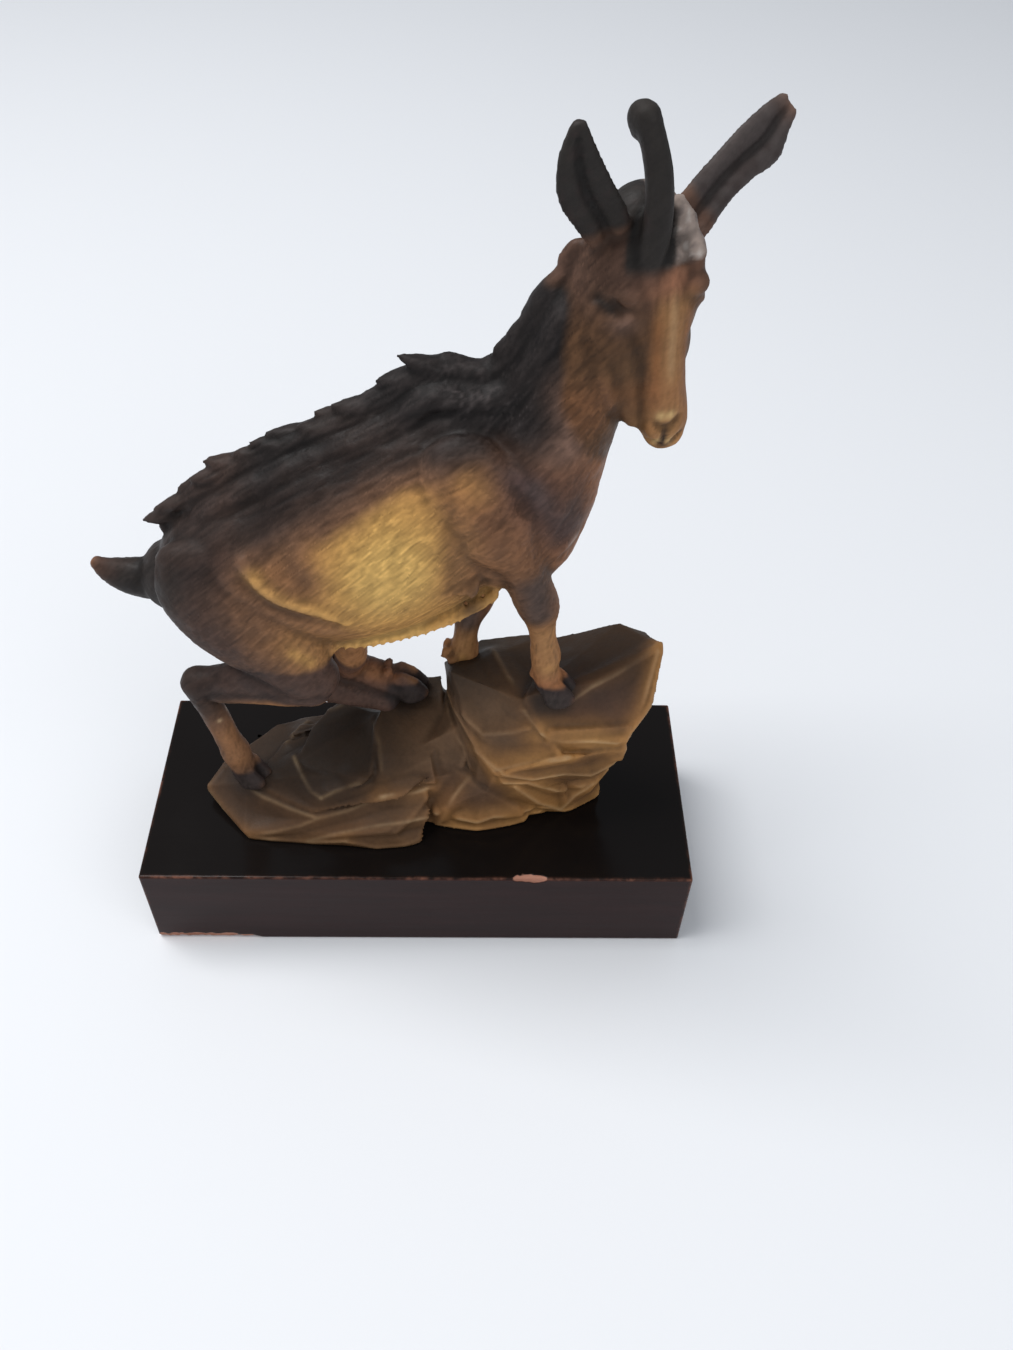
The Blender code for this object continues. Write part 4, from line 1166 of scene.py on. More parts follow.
@dataclass(frozen=True)
class Palette:
    """The paints, as linear colours."""

    honey: Colour = (0.43, 0.235, 0.070)
    bright: Colour = (0.58, 0.360, 0.110)
    gold: Colour = (0.33, 0.165, 0.055)
    amber: Colour = (0.215, 0.100, 0.042)
    rust: Colour = (0.200, 0.082, 0.034)
    brown: Colour = (0.118, 0.060, 0.033)
    umber: Colour = (0.060, 0.033, 0.024)
    soot: Colour = (0.024, 0.0165, 0.0150)
    black: Colour = (0.0165, 0.0140, 0.0125)
    slate: Colour = (0.056, 0.045, 0.043)
    rose: Colour = (0.150, 0.085, 0.060)
    bone: Colour = (0.250, 0.200, 0.175)
    pale: Colour = (0.470, 0.330, 0.185)
    shoulder: Colour = (0.050, 0.031, 0.029)
    breast: Colour = (0.032, 0.023, 0.022)
    back: Colour = (0.045, 0.027, 0.020)
    spine: Colour = (0.0135, 0.0085, 0.0070)
    crest: Colour = (0.0105, 0.0085, 0.0080)
    rump: Colour = (0.024, 0.0150, 0.0120)
    throat: Colour = (0.088, 0.050, 0.036)
    nape: Colour = (0.045, 0.029, 0.023)
    mane: Colour = (0.0115, 0.0090, 0.0085)
    ash: Colour = (0.070, 0.058, 0.056)
    knee: Colour = (0.225, 0.112, 0.042)
    hock: Colour = (0.025, 0.016, 0.013)
    forearm: Colour = (0.150, 0.070, 0.032)
    wrist: Colour = (0.050, 0.027, 0.017)
    shin: Colour = (0.235, 0.118, 0.046)
    hoof: Colour = (0.034, 0.026, 0.022)
    elbow: Colour = (0.060, 0.034, 0.020)
    face: Colour = (0.070, 0.034, 0.016)
    jowl: Colour = (0.110, 0.058, 0.026)
    blush: Colour = (0.245, 0.108, 0.058)
    bridge: Colour = (0.210, 0.104, 0.042)
    stripe: Colour = (0.165, 0.066, 0.024)
    blaze: Colour = (0.36, 0.215, 0.105)
    muzzle: Colour = (0.225, 0.118, 0.048)
    snout: Colour = (0.42, 0.285, 0.125)
    socket: Colour = (0.034, 0.019, 0.012)
    brow: Colour = (0.044, 0.024, 0.015)
    jaw: Colour = (0.150, 0.070, 0.035)
    scar: Colour = (0.200, 0.158, 0.135)
    chalk: Colour = (0.36, 0.32, 0.29)
    ear: Colour = (0.040, 0.032, 0.030)
    stain: Colour = (0.055, 0.035, 0.022)
    shade: Colour = (0.030, 0.021, 0.0145)
    peat: Colour = (0.034, 0.019, 0.011)
    loam: Colour = (0.052, 0.030, 0.017)
    gloom: Colour = (0.022, 0.014, 0.009)
    clay: Colour = (0.062, 0.034, 0.018)
    ledge: Colour = (0.100, 0.056, 0.030)
    earth: Colour = (0.078, 0.041, 0.019)
    dusk: Colour = (0.040, 0.022, 0.012)
    # Painted light, laid paler over a shaded stretch of the rock's front.
    painted_light: Colour = (0.180, 0.102, 0.055)
    glow: Colour = (0.30, 0.135, 0.045)
    # Painted shadow on the stone round the hooves.
    hoof_shadow: Colour = (0.020, 0.014, 0.011)


PAINT = Palette()


@dataclass(frozen=True)
class Stroke:
    """One pull of the airbrush, with a soft edge.

    Args:
        colour: The paint.
        width: Where the paint has fallen to a third, in millimetres.
        cover: How far it covers in the middle.
        path: The path's corners in millimetres.
        fold: Whether the far side gets the mirrored stroke too.
    """

    colour: Colour
    width: float
    cover: float
    path: Sequence[Sequence[float]]
    fold: bool = True


@dataclass
class Painter:
    """The airbrush: it lays soft coats of colour over the honey-coloured resin."""

    skin: Skin
    coat: np.ndarray = field(init=False)

    def __post_init__(self) -> None:
        """Start from an even brown."""
        self.coat = np.tile(np.array(PAINT.brown), (len(self.skin.points), 1))

    def spray(self, colour: Colour, mask: np.ndarray) -> None:
        """Lay one soft coat: the mask is how far it covers what lies under it."""
        cover = np.clip(mask, 0, 1)[:, None]
        self.coat = self.coat * (1 - cover) + np.array(colour) * cover

    def draw(self, *strokes: Stroke) -> None:
        """Draw strokes one after another."""
        for stroke in strokes:
            path = np.asarray(stroke.path, dtype=float) / MM
            apart = self.skin.reach(path, stroke.fold) * MM
            self.spray(stroke.colour, stroke.cover * np.exp(-((apart / stroke.width) ** 2)))

    def drybrush_and_crease_shade(self, mask: np.ndarray, amount: float) -> None:
        """Brush pale over raised relief as dry-brushed wear, and dark into hollows as painted shade: positive
        lightens and negative darkens.
        """
        self.coat = self.coat * (1 + amount * mask[:, None])

    def keep(self) -> None:
        """Store the coat as the skin's colour value."""
        self.skin.values["coat"] = np.clip(self.coat, 0.002, 0.9)


# Where the flank and the near shank are smoothed: axis, start and full, in millimetres.
FLANK_EDGES = ((2, 93, 99), (2, 142, 132), (0, -40, -34), (0, 28, 22))
SHANK_EDGES = ((2, 66, 69), (2, 84, 80), (0, -46, -42), (0, -10, -14), (1, -3, -6))
# Folds of the skin, in millimetres: in front of the thigh, and over the hip.
GROIN_FOLD = (
    (-28.5, -12.6, 104.2),
    (-25.5, -14.6, 99.7),
    (-21.7, -15.3, 97.1),
    (-15.6, -15.7, 95.6),
    (-11.5, -15.0, 92.6),
)
HIP_FOLD = ((-28.5, -12.6, 104.2), (-24.8, -11.8, 107.7), (-20.6, -11.9, 110.8))
# Width and height of each muscle's ridge or hollow, and its path, in millimetres.
MUSCLES = (
    (1.3, 0.65, GROIN_FOLD),
    (1.6, -0.75, ((-29.0, -13.5, 100.0), (-25.0, -15.0, 96.0), (-20.0, -15.6, 93.6), (-13.5, -15.0, 91.0))),
    (3.2, -0.55, ((-22.0, -13.5, 106.5), (-18.0, -15.0, 101.5))),
    (1.1, 0.35, HIP_FOLD),
    (2.4, -0.6, ((7.0, -14.6, 120.0), (7.6, -15.0, 110.0), (8.6, -14.0, 99.0))),
    (1.6, -0.5, ((18.5, -12.6, 121.0), (21.0, -12.4, 113.0), (20.5, -12.0, 107.0))),
    (1.5, 0.4, ((15.0, -12.7, 125.5), (20.0, -12.0, 121.0), (25.8, -11.1, 115.0))),
    (1.2, 0.5, ((29.2, -7.4, 107.1), (26.0, -9.5, 105.0))),
)
FLANK_STROKES = (
    Stroke(PAINT.amber, 4.4, 0.9, ((-21.0, -14, 105.0), (-18.5, -14, 102.0))),
    Stroke(PAINT.brown, 3.2, 0.6, ((-21.0, -14, 106.5), (-18.0, -14, 103.0))),
    Stroke(PAINT.gold, 2.2, 0.8, HIP_FOLD),
    Stroke(PAINT.honey, 1.8, 0.95, GROIN_FOLD),
    # Painted shade: brown just below the groin fold, where the thigh meets the belly.
    Stroke(PAINT.brown, 3.0, 0.9, ((-32.0, -13, 99.0), (-26.0, -15, 94.0), (-20.5, -15, 91.5))),
    Stroke(PAINT.amber, 3.0, 0.8, ((8.3, -15, 118.0), (8.6, -15, 108.0), (8.0, -14, 98.0))),
    Stroke(PAINT.gold, 4.0, 0.75, ((9.5, -14, 124.5), (12.0, -14, 122.0))),
    Stroke(PAINT.brown, 6.0, 0.75, ((15.5, -14, 113.0), (14.5, -14, 103.0))),
    Stroke(PAINT.shoulder, 5.5, 0.95, ((18.5, -13, 124.0), (23.0, -11, 117.0), (26.5, -9, 110.0))),
    Stroke(PAINT.breast, 3.2, 0.8, ((27.5, -8, 121.0), (28.0, -8, 113.0))),
    Stroke(PAINT.slate, 1.6, 0.4, ((21.5, -12, 121.0), (25.0, -10, 114.0))),
    Stroke(PAINT.amber, 2.4, 0.7, ((10.9, -13, 99.0), (12.6, -12.4, 103.1), (14.3, -15, 106.0))),
)
THROAT_STROKE = Stroke(PAINT.rose, 3.6, 0.8, ((27.0, -9.7, 136.5), (28.2, -9.9, 131.0), (26.0, -10.5, 127.0)))
GREY_HAIR = ((10.0, -6, 134.0), (14.0, -7, 134.5), (17.0, -8, 132.0))
# The belly's edge, in shares of the body.
BELLY_EDGE = ((0.37, -0.28, -0.47), (0.55, -0.28, -0.51), (0.74, -0.27, -0.44))
END_STROKES = (
    Stroke(PAINT.umber, 2.2, 0.9, ((-60.0, 0, 94.5), (-57.5, 0, 90.0))),
    Stroke(PAINT.rust, 1.0, 0.6, ((-60.5, 0, 95.0), (-59.5, 0, 91.5))),
    Stroke(PAINT.pale, 1.0, 0.55, ((-40.6, 0, 105.0), (-39.0, 0, 105.8)), False),
    Stroke(PAINT.bone, 0.9, 0.8, ((29.2, -7.4, 107.1), (28.4, -8.0, 106.0)), False),
)
THIGH_STROKES = (
    Stroke(PAINT.brown, 8.0, 0.85, ((-28.0, -14, 92.0), (-24.0, -15, 87.0))),
    Stroke(PAINT.umber, 6.0, 0.9, ((-38.0, -12, 89.0), (-33.0, -13, 83.0), (-28.0, -14, 79.0))),
    Stroke(PAINT.amber, 5.0, 0.9, ((-21.0, -15, 88.0), (-16.5, -14, 87.0))),
    Stroke(PAINT.knee, 4.1, 0.95, ((-20.5, -15, 86.0), (-18.0, -14.5, 82.5), (-14.5, -12.5, 84.5))),
    Stroke(PAINT.knee, 3.0, 0.8, ((-14.5, -12.5, 84.5), (-12.0, -11.0, 87.0))),
    Stroke(PAINT.honey, 1.2, 0.55, ((-21.5, -15.5, 84.5), (-18.5, -15, 81.5))),
)
NEAR_SHIN = ((-44.0, -8, 72.0), (-37.0, -9, 73.5), (-29.0, -10, 75.0), (-20.0, -12, 75.0), (-15.0, -9, 75.0))
HOCK_STROKES = (
    Stroke(PAINT.hock, 6.5, 1.0, ((-44.5, -9, 70.0), (-42.0, -8, 61.0)), False),
    Stroke(PAINT.brown, 5.5, 1.0, ((-40.0, -8, 54.0), (-38.0, -8, 43.0)), False),
    Stroke(PAINT.amber, 3.0, 0.7, ((-39.4, -8.6, 52.0), (-38.5, -8.7, 44.0)), False),
    Stroke(PAINT.umber, 1.6, 0.5, ((-41.5, -7, 52.0), (-41.0, -7, 44.0)), False),
    Stroke(PAINT.pale, 0.45, 0.7, ((-40.0, -9.0, 57.8),), False),
    Stroke(PAINT.pale, 0.45, 0.5, ((-38.8, -6.2, 58.5),), False),
)
FAR_SHIN = ((-30.0, 8, 72.0), (-26.0, 8, 62.0), (-16.0, 7, 56.0), (-9.0, 6, 51.0))
FAR_STROKES = (
    Stroke(PAINT.rust, 2.6, 0.65, ((-15.5, 6, 59.5), (-10.5, 5.5, 57.8), (-6.5, 5.5, 56.8)), False),
    Stroke(PAINT.amber, 1.2, 0.4, ((-12.5, 5.5, 58.2), (-8.5, 5.2, 57.0)), False),
)
# The wrist and the shin of each foreleg.
FORE_PATHS = (
    (((22.3, -12, 99.0), (23.5, -11.5, 91.5)), ((24.8, -9.5, 85.5), (26.0, -9.5, 76.0))),
    (((11.5, 3.5, 88.0), (10.2, 4.3, 73.0)), ((9.6, 4.3, 67.5), (9.2, 4.0, 64.0))),
)
LAST_STROKES = (
    Stroke(PAINT.elbow, 2.8, 0.85, ((13.0, -13, 98.5), (10.8, -10, 91.5))),
    Stroke(PAINT.pale, 0.8, 0.7, ((5.6, 2.4, 60.0),), False),
)
# Paint, place in shares of the head, reach in millimetres and cover of the face's soft spots.
CHEEK_SPOTS = (
    (PAINT.jowl, (0.55, 0.40, 0.70), (5.0, 4.0, 4.0), 0.6),
    (PAINT.rose, (0.23, 0.72, 0.85), (1.7, 2.0, 2.0), 0.8),
    (PAINT.blush, (0.07, 0.95, -0.15), (2.8, 3.0, 4.5), 0.95),
)
MUZZLE_SPOTS = (
    (PAINT.muzzle, (0.80, 0.45, 0.0), (4.0, 4.0, 4.5), 0.75),
    (PAINT.gold, (0.90, 0.25, 0.3), (2.2, 3.0, 2.0), 0.5),
    (PAINT.snout, (0.74, 0.70, 0.10), (0.8, 1.6, 0.8), 0.9),
    (PAINT.snout, (0.90, 0.42, 0.12), (0.8, 1.2, 0.7), 0.85),
)
# Paint, width in millimetres, cover and path of the face's fine lines.
FACE_LINES = (
    (PAINT.socket, 1.5, 0.7, EYE),
    (PAINT.black, 0.75, 1.0, ((0.105, 0.56, 1.29), (0.125, 0.66, 1.20), (0.150, 0.70, 1.10))),
    (PAINT.brow, 0.9, 0.5, BROW),
    (PAINT.rose, 0.55, 0.45, LID),
    (PAINT.soot, 0.45, 0.95, ((0.77, 0.66, 0.26), (0.80, 0.63, 0.06))),
    (PAINT.soot, 0.42, 0.95, ((0.80, 0.62, 0.0), (0.86, 0.54, 0.0), (0.92, 0.36, 0.0))),
    (PAINT.umber, 0.5, 0.7, LIPS),
    (PAINT.jaw, 0.8, 0.4, JAW[1:]),
)


@dataclass
class Hide:
    """The animal, from its horn to its hooves, with its paint."""

    pose: Pose
    voxel: float = 0.000531
    rounds: int = 3
    flank_rounds: int = 16
    shank_rounds: int = 10
    skull_rounds: int = 16
    lump_height: float = 0.00016

    def build(self) -> bpy.types.Object:
        """Model, fuse, carve, comb and paint the animal."""
        clay = Clay(self.voxel)
        Trunk(self.pose).model(clay)
        head = Head(self.pose)
        head.model(clay)
        Legs(self.pose).model(clay)
        coat = Coat(self.pose)
        coat.model(clay)
        skin = clay.fuse()
        skin.soften(self.rounds)
        clear = ramp(skin.reach(coat.crest_line()) * MM, 3.5, 6.5)
        skin.soften(self.flank_rounds, window(skin.points, FLANK_EDGES) * clear)
        skin.soften(1, ramp(skin.reach(coat.crest_line()) * MM, 9.0, 6.0))
        skin.soften(self.shank_rounds, window(skin.points, SHANK_EDGES))
        half = self.pose.head_width / 2
        local = self.pose.face().local(skin.points) / np.array([self.pose.head_length, half, half])
        skull = ramp(np.linalg.norm((local - (0.35, 0.3, 0)) / (0.62, 1.5, 1.9), axis=1), 1.1, 0.9)
        skin.soften(self.skull_rounds, skull * ramp(local[:, 0], -0.04, 0.04))
        head.carve(skin)
        self.muscles(skin)
        coat.comb(skin)
        self.paint(skin)
        return skin.finish("chamois", ResinFinish("painted_hide"))

    def muscles(self, skin: Skin) -> None:
        """Raise the flank fold, the shoulder's edge and the knees' creases under the coat."""
        for width, height, path in MUSCLES:
            apart = skin.reach(np.asarray(path) / MM, True) * MM
            skin.push(height / MM * np.exp(-((apart / width) ** 2)))
        skin.push(mottle(skin.points, LUMPS) * self.lump_height * ramp(skin.points[:, 2], 0.150, 0.135))

    def paint(self, skin: Skin) -> None:
        """Paint the coat: dark back and mane, honey flank, brown legs and tan shins."""
        brush = Painter(skin)
        mm = skin.points * MM
        x, _, z = mm.T
        mist = mottle(skin.points, MIST)
        self.paint_body(brush, x, z, mist)
        self.paint_legs(brush, mm, mist)
        self.paint_head(brush, mist)
        # Dry-brushed pale on the coat's ridges, and painted shade darkening its creases and folds.
        fold = skin.bend()
        wide = fold.copy()
        for _ in range(3):
            wide = skin.mean(wide)
        brush.drybrush_and_crease_shade(np.clip(wide / 0.000012, -1, 1), 0.22)
        brush.drybrush_and_crease_shade(np.clip(fold / 0.00002, -1, 1), 0.16)
        brush.keep()

    def paint_body(self, brush: Painter, x: np.ndarray, z: np.ndarray, mist: np.ndarray) -> None:
        """Lay the trunk's colours, with the far side as a mirror image of the near side."""
        above = 0.853 * (z - 106.9 - 0.614 * (x + 31.6)) + 1.6 * mist
        oval = np.sqrt(((x + 2.8 - 0.12 * (z - 105)) / 12.6) ** 2 + ((z - 104.0) / 15.5) ** 2) + 0.05 * mist
        brush.spray(PAINT.amber, ramp(above, 2.0, -3.0) * ramp(x, -36.0, -27.0))
        brush.spray(PAINT.rust, ramp(x, 3.0, 10.0) * ramp(above, 2.0, -5.0))
        brush.spray(PAINT.gold, ramp(oval, 1.45, 1.0))
        brush.spray(PAINT.honey, ramp(oval, 1.2, 0.72))
        brush.spray(PAINT.bright, 0.8 * ramp(oval, 0.85, 0.25))
        brush.draw(*FLANK_STROKES)
        brush.spray(PAINT.brown, ramp(above, -8.0, -4.0))
        brush.spray(PAINT.back, ramp(above, -5.0, -1.0))
        brush.spray(PAINT.spine, ramp(above, -2.5, 1.0))
        brush.spray(PAINT.crest, 0.8 * ramp(above, 2.5, 6.0))
        brush.spray(PAINT.umber, ramp(x + 1.2 * mist, -28.5, -33.5) * ramp(z, 80, 86))
        brush.spray(PAINT.soot, ramp(x + 1.2 * mist, -31.0, -36.0) * ramp(z, 78, 86))
        brush.spray(PAINT.black, ramp(x + 1.2 * mist, -37.0, -43.0) * ramp(z, 82, 90) * 0.8)
        brush.spray(PAINT.rump, 0.8 * ramp(above, -2.0, 1.0) * ramp(x, -24, -31))
        neck = 0.93 * (x - 21.0) - 0.36 * (z - 135.0)
        up = ramp(z, 122, 131)
        brush.spray(PAINT.brown, up * ramp(x, 12.0, 22.0))
        brush.spray(PAINT.throat, up * ramp(x, 14.0, 24.0) * 0.8)
        brush.spray(PAINT.nape, up * ramp(neck + 1.3 * mist, 12.0, 6.5))
        brush.spray(PAINT.mane, up * ramp(neck + 1.3 * mist, 8.0, 3.0))
        brush.draw(THROAT_STROKE)
        tips = ramp(brush.skin.values["strokes"], 0.1, 0.7)
        grey = brush.skin.reach(np.array(GREY_HAIR) / MM, True)
        brush.spray(PAINT.ash, tips * 0.6 * np.exp(-((grey / 0.0045) ** 2)))
        brush.spray(PAINT.slate, 0.10 * tips * (ramp(above, 1.0, 5.0) + up * ramp(neck, 6.0, 0.0)))
        body = self.pose.body()
        size = np.array([self.pose.body_length, self.pose.body_width, self.pose.body_depth])
        edge = [body.at(*(np.array(spot) * size)) * MM for spot in BELLY_EDGE]
        belly = (Stroke(PAINT.honey, 4.5, 0.95, edge), Stroke(PAINT.bright, 2.0, 0.5, edge[:2]))
        brush.draw(*belly, *END_STROKES)

    def paint_legs(self, brush: Painter, mm: np.ndarray, mist: np.ndarray) -> None:
        """Lay the legs' colours."""
        z = mm[:, 2]
        brush.draw(*THIGH_STROKES)
        near = brush.skin.reach(np.array(NEAR_SHIN) / MM) * MM
        dark = ramp(near + mist, 8.0, 6.0) * ramp(z, 80.5, 78.5)
        brush.spray(PAINT.umber, dark)
        brush.spray(PAINT.soot, dark * ramp(mist, -0.6, 0.4) * 0.7)
        brush.draw(*HOCK_STROKES)
        far = brush.skin.reach(np.array(FAR_SHIN) / MM) * MM
        brush.spray(PAINT.umber, ramp(far + mist, 10.0, 7.5) * ramp(mm[:, 1], -4, 0))
        brush.draw(*FAR_STROKES)
        for wrist, shin in FORE_PATHS:
            forearm = ((16.0, wrist[0][1], 106.0), wrist[0])
            brush.draw(
                Stroke(PAINT.forearm, 5.5, 0.9, forearm, False),
                Stroke(PAINT.wrist, 5.0, 0.95, wrist, False),
                Stroke(PAINT.slate, 3.0, 0.5, wrist, False),
                Stroke(PAINT.shin, 3.6, 1.0, shin, False),
                Stroke(PAINT.honey, 1.2, 0.3, shin[1:], False),
            )
        for place in self.pose.hooves().values():
            foot = place * MM
            apart = np.linalg.norm((mm - foot) * (1, 1, 0.7), axis=1)
            low = ramp(z + 0.6 * mist, foot[2] + 4.6, foot[2] + 3.2)
            brush.spray(PAINT.soot, ramp(apart, 6.5, 4.6) * low)
            low = ramp(z, foot[2] + 3.0, foot[2] + 1.5)
            brush.spray(PAINT.hoof, 0.5 * ramp(apart, 5.5, 3.0) * low)
        brush.draw(*LAST_STROKES)

    def paint_head(self, brush: Painter, mist: np.ndarray) -> None:
        """Lay the face's colours in the head's own directions, the same on both sides."""
        pose = self.pose
        half = pose.head_width / 2
        local = pose.face().local(brush.skin.points) / np.array([pose.head_length, half, half])
        down, out, side = local.T
        face = np.stack([down, out, np.abs(side)], axis=1)
        size = np.array([pose.head_length, half, half]) * MM
        apart = np.linalg.norm((face - (0.35, 0.1, 0)) / (0.75, 1.7, 2.1), axis=1)
        on = ramp(down, -0.30, -0.12) * ramp(apart, 1.12, 0.98)
        behind = ramp(face[:, 2] - 0.9 * down + 0.12 * mist, 1.42, 1.66)
        behind = np.maximum(behind, ramp(out, -0.6, -1.0))
        on = on * (1 - behind * ramp(down + 0.02 * mist, 0.02, 0.10))

        def spots(*rows: tuple) -> None:
            """Lay soft spots by shares of the head, and their reach in millimetres."""
            for colour, centre, reach, cover in rows:
                apart = (face - centre) * size / reach
                brush.spray(colour, on * cover * np.exp(-np.sum(apart * apart, axis=1)))

        brush.spray(PAINT.face, on)
        brush.spray(PAINT.umber, 0.75 * on * ramp(down + 0.05 * mist, 0.30, 0.02))
        brush.spray(PAINT.umber, 0.6 * on * ramp(out, 0.3, -0.5) * ramp(down, 0.50, 0.25))
        spots(*CHEEK_SPOTS)
        stripe = on * ramp(down, 0.06, 0.20) * ramp(out, 0.20, 0.42)
        brush.spray(PAINT.bridge, stripe * ramp(np.abs(side + 0.13), 0.56, 0.26))
        edge = 0.8 * stripe * ramp(np.abs(side + 0.10), 0.14, 0.36) * ramp(down, 0.10, 0.3)
        brush.spray(PAINT.stripe, edge * ramp(np.abs(side + 0.13), 0.60, 0.34))
        brush.spray(PAINT.rust, 0.35 * stripe * ramp(down, 0.45, 0.62) * ramp(down, 0.88, 0.76))
        blaze = 0.6 * stripe * ramp(np.abs(side + 0.07), 0.15, 0.0)
        brush.spray(PAINT.blaze, blaze * ramp(down, 0.62, 0.45))
        spots(*MUZZLE_SPOTS)
        head = Head(pose)
        for colour, width, cover, path in FACE_LINES:
            for flank in Flank:
                apart = brush.skin.reach(head.line(flank.value, *path)) * MM
                brush.spray(colour, cover * np.exp(-((apart / width) ** 2)))
        scar = ramp(down + 0.02 * mist, -0.01, -0.05) * ramp(side, 0.16, 0.06) * ramp(down, -0.62, -0.50)
        scar = scar * ramp(out, -0.35, 0.05) * ramp(side, -1.35, -1.15)
        blotch = mottle(brush.skin.points, BLOTCH)
        brush.spray(PAINT.scar, scar)
        brush.spray(PAINT.slate, scar * ramp(blotch, 0.05, 0.5) * 0.6)
        brush.spray(PAINT.chalk, scar * ramp(blotch, -0.15, -0.55) * 0.7)
        brush.spray(PAINT.brown, scar * ramp(down, -0.30, -0.50) * 0.6)
        horn = np.array([row[:3] for row in head.horn_rows()])
        near = brush.skin.reach(horn) * MM
        brush.spray(PAINT.umber, ramp(near, 6.0, 3.4) * ramp(down, 0.12, -0.02) * 0.6 * ramp(side, 0.1, 0.3))
        brush.spray(PAINT.black, ramp(near, 4.2, 3.3) * ramp(down, 0.03, -0.04))
        for flank, colour in ((Flank.RIGHT, PAINT.black), (Flank.LEFT, PAINT.ear)):
            axis = head.ear_axis(flank)
            along = (brush.skin.points - axis[0]) @ unit(axis[1] - axis[0]) * MM
            ear = ramp(brush.skin.reach(axis) * MM, 8.5, 6.5) * ramp(along + 0.8 * mist, 2.5, 5.0)
            brush.spray(colour, ear)
            brush.spray(PAINT.soot, 0.6 * ear * ramp(blotch, -0.2, 0.6))
        tips = np.linalg.norm(brush.skin.points - head.ear_axis(Flank.LEFT)[1], axis=1) * MM
        brush.spray(PAINT.rose, 0.8 * np.exp(-((tips / 2.4) ** 2)))


@dataclass(frozen=True)
class Ridge:
    """One worn ridge of the rock: its corners in millimetres over the block's top, and its looks.

    Args:
        light: How far the pale wear covers it.
        glow: How far the honey colour covers the stone beside it.
        spread: How far the honey reaches, in millimetres.
        path: The corners.
    """

    light: float
    glow: float
    spread: float
    path: tuple[tuple[float, float, float], ...]


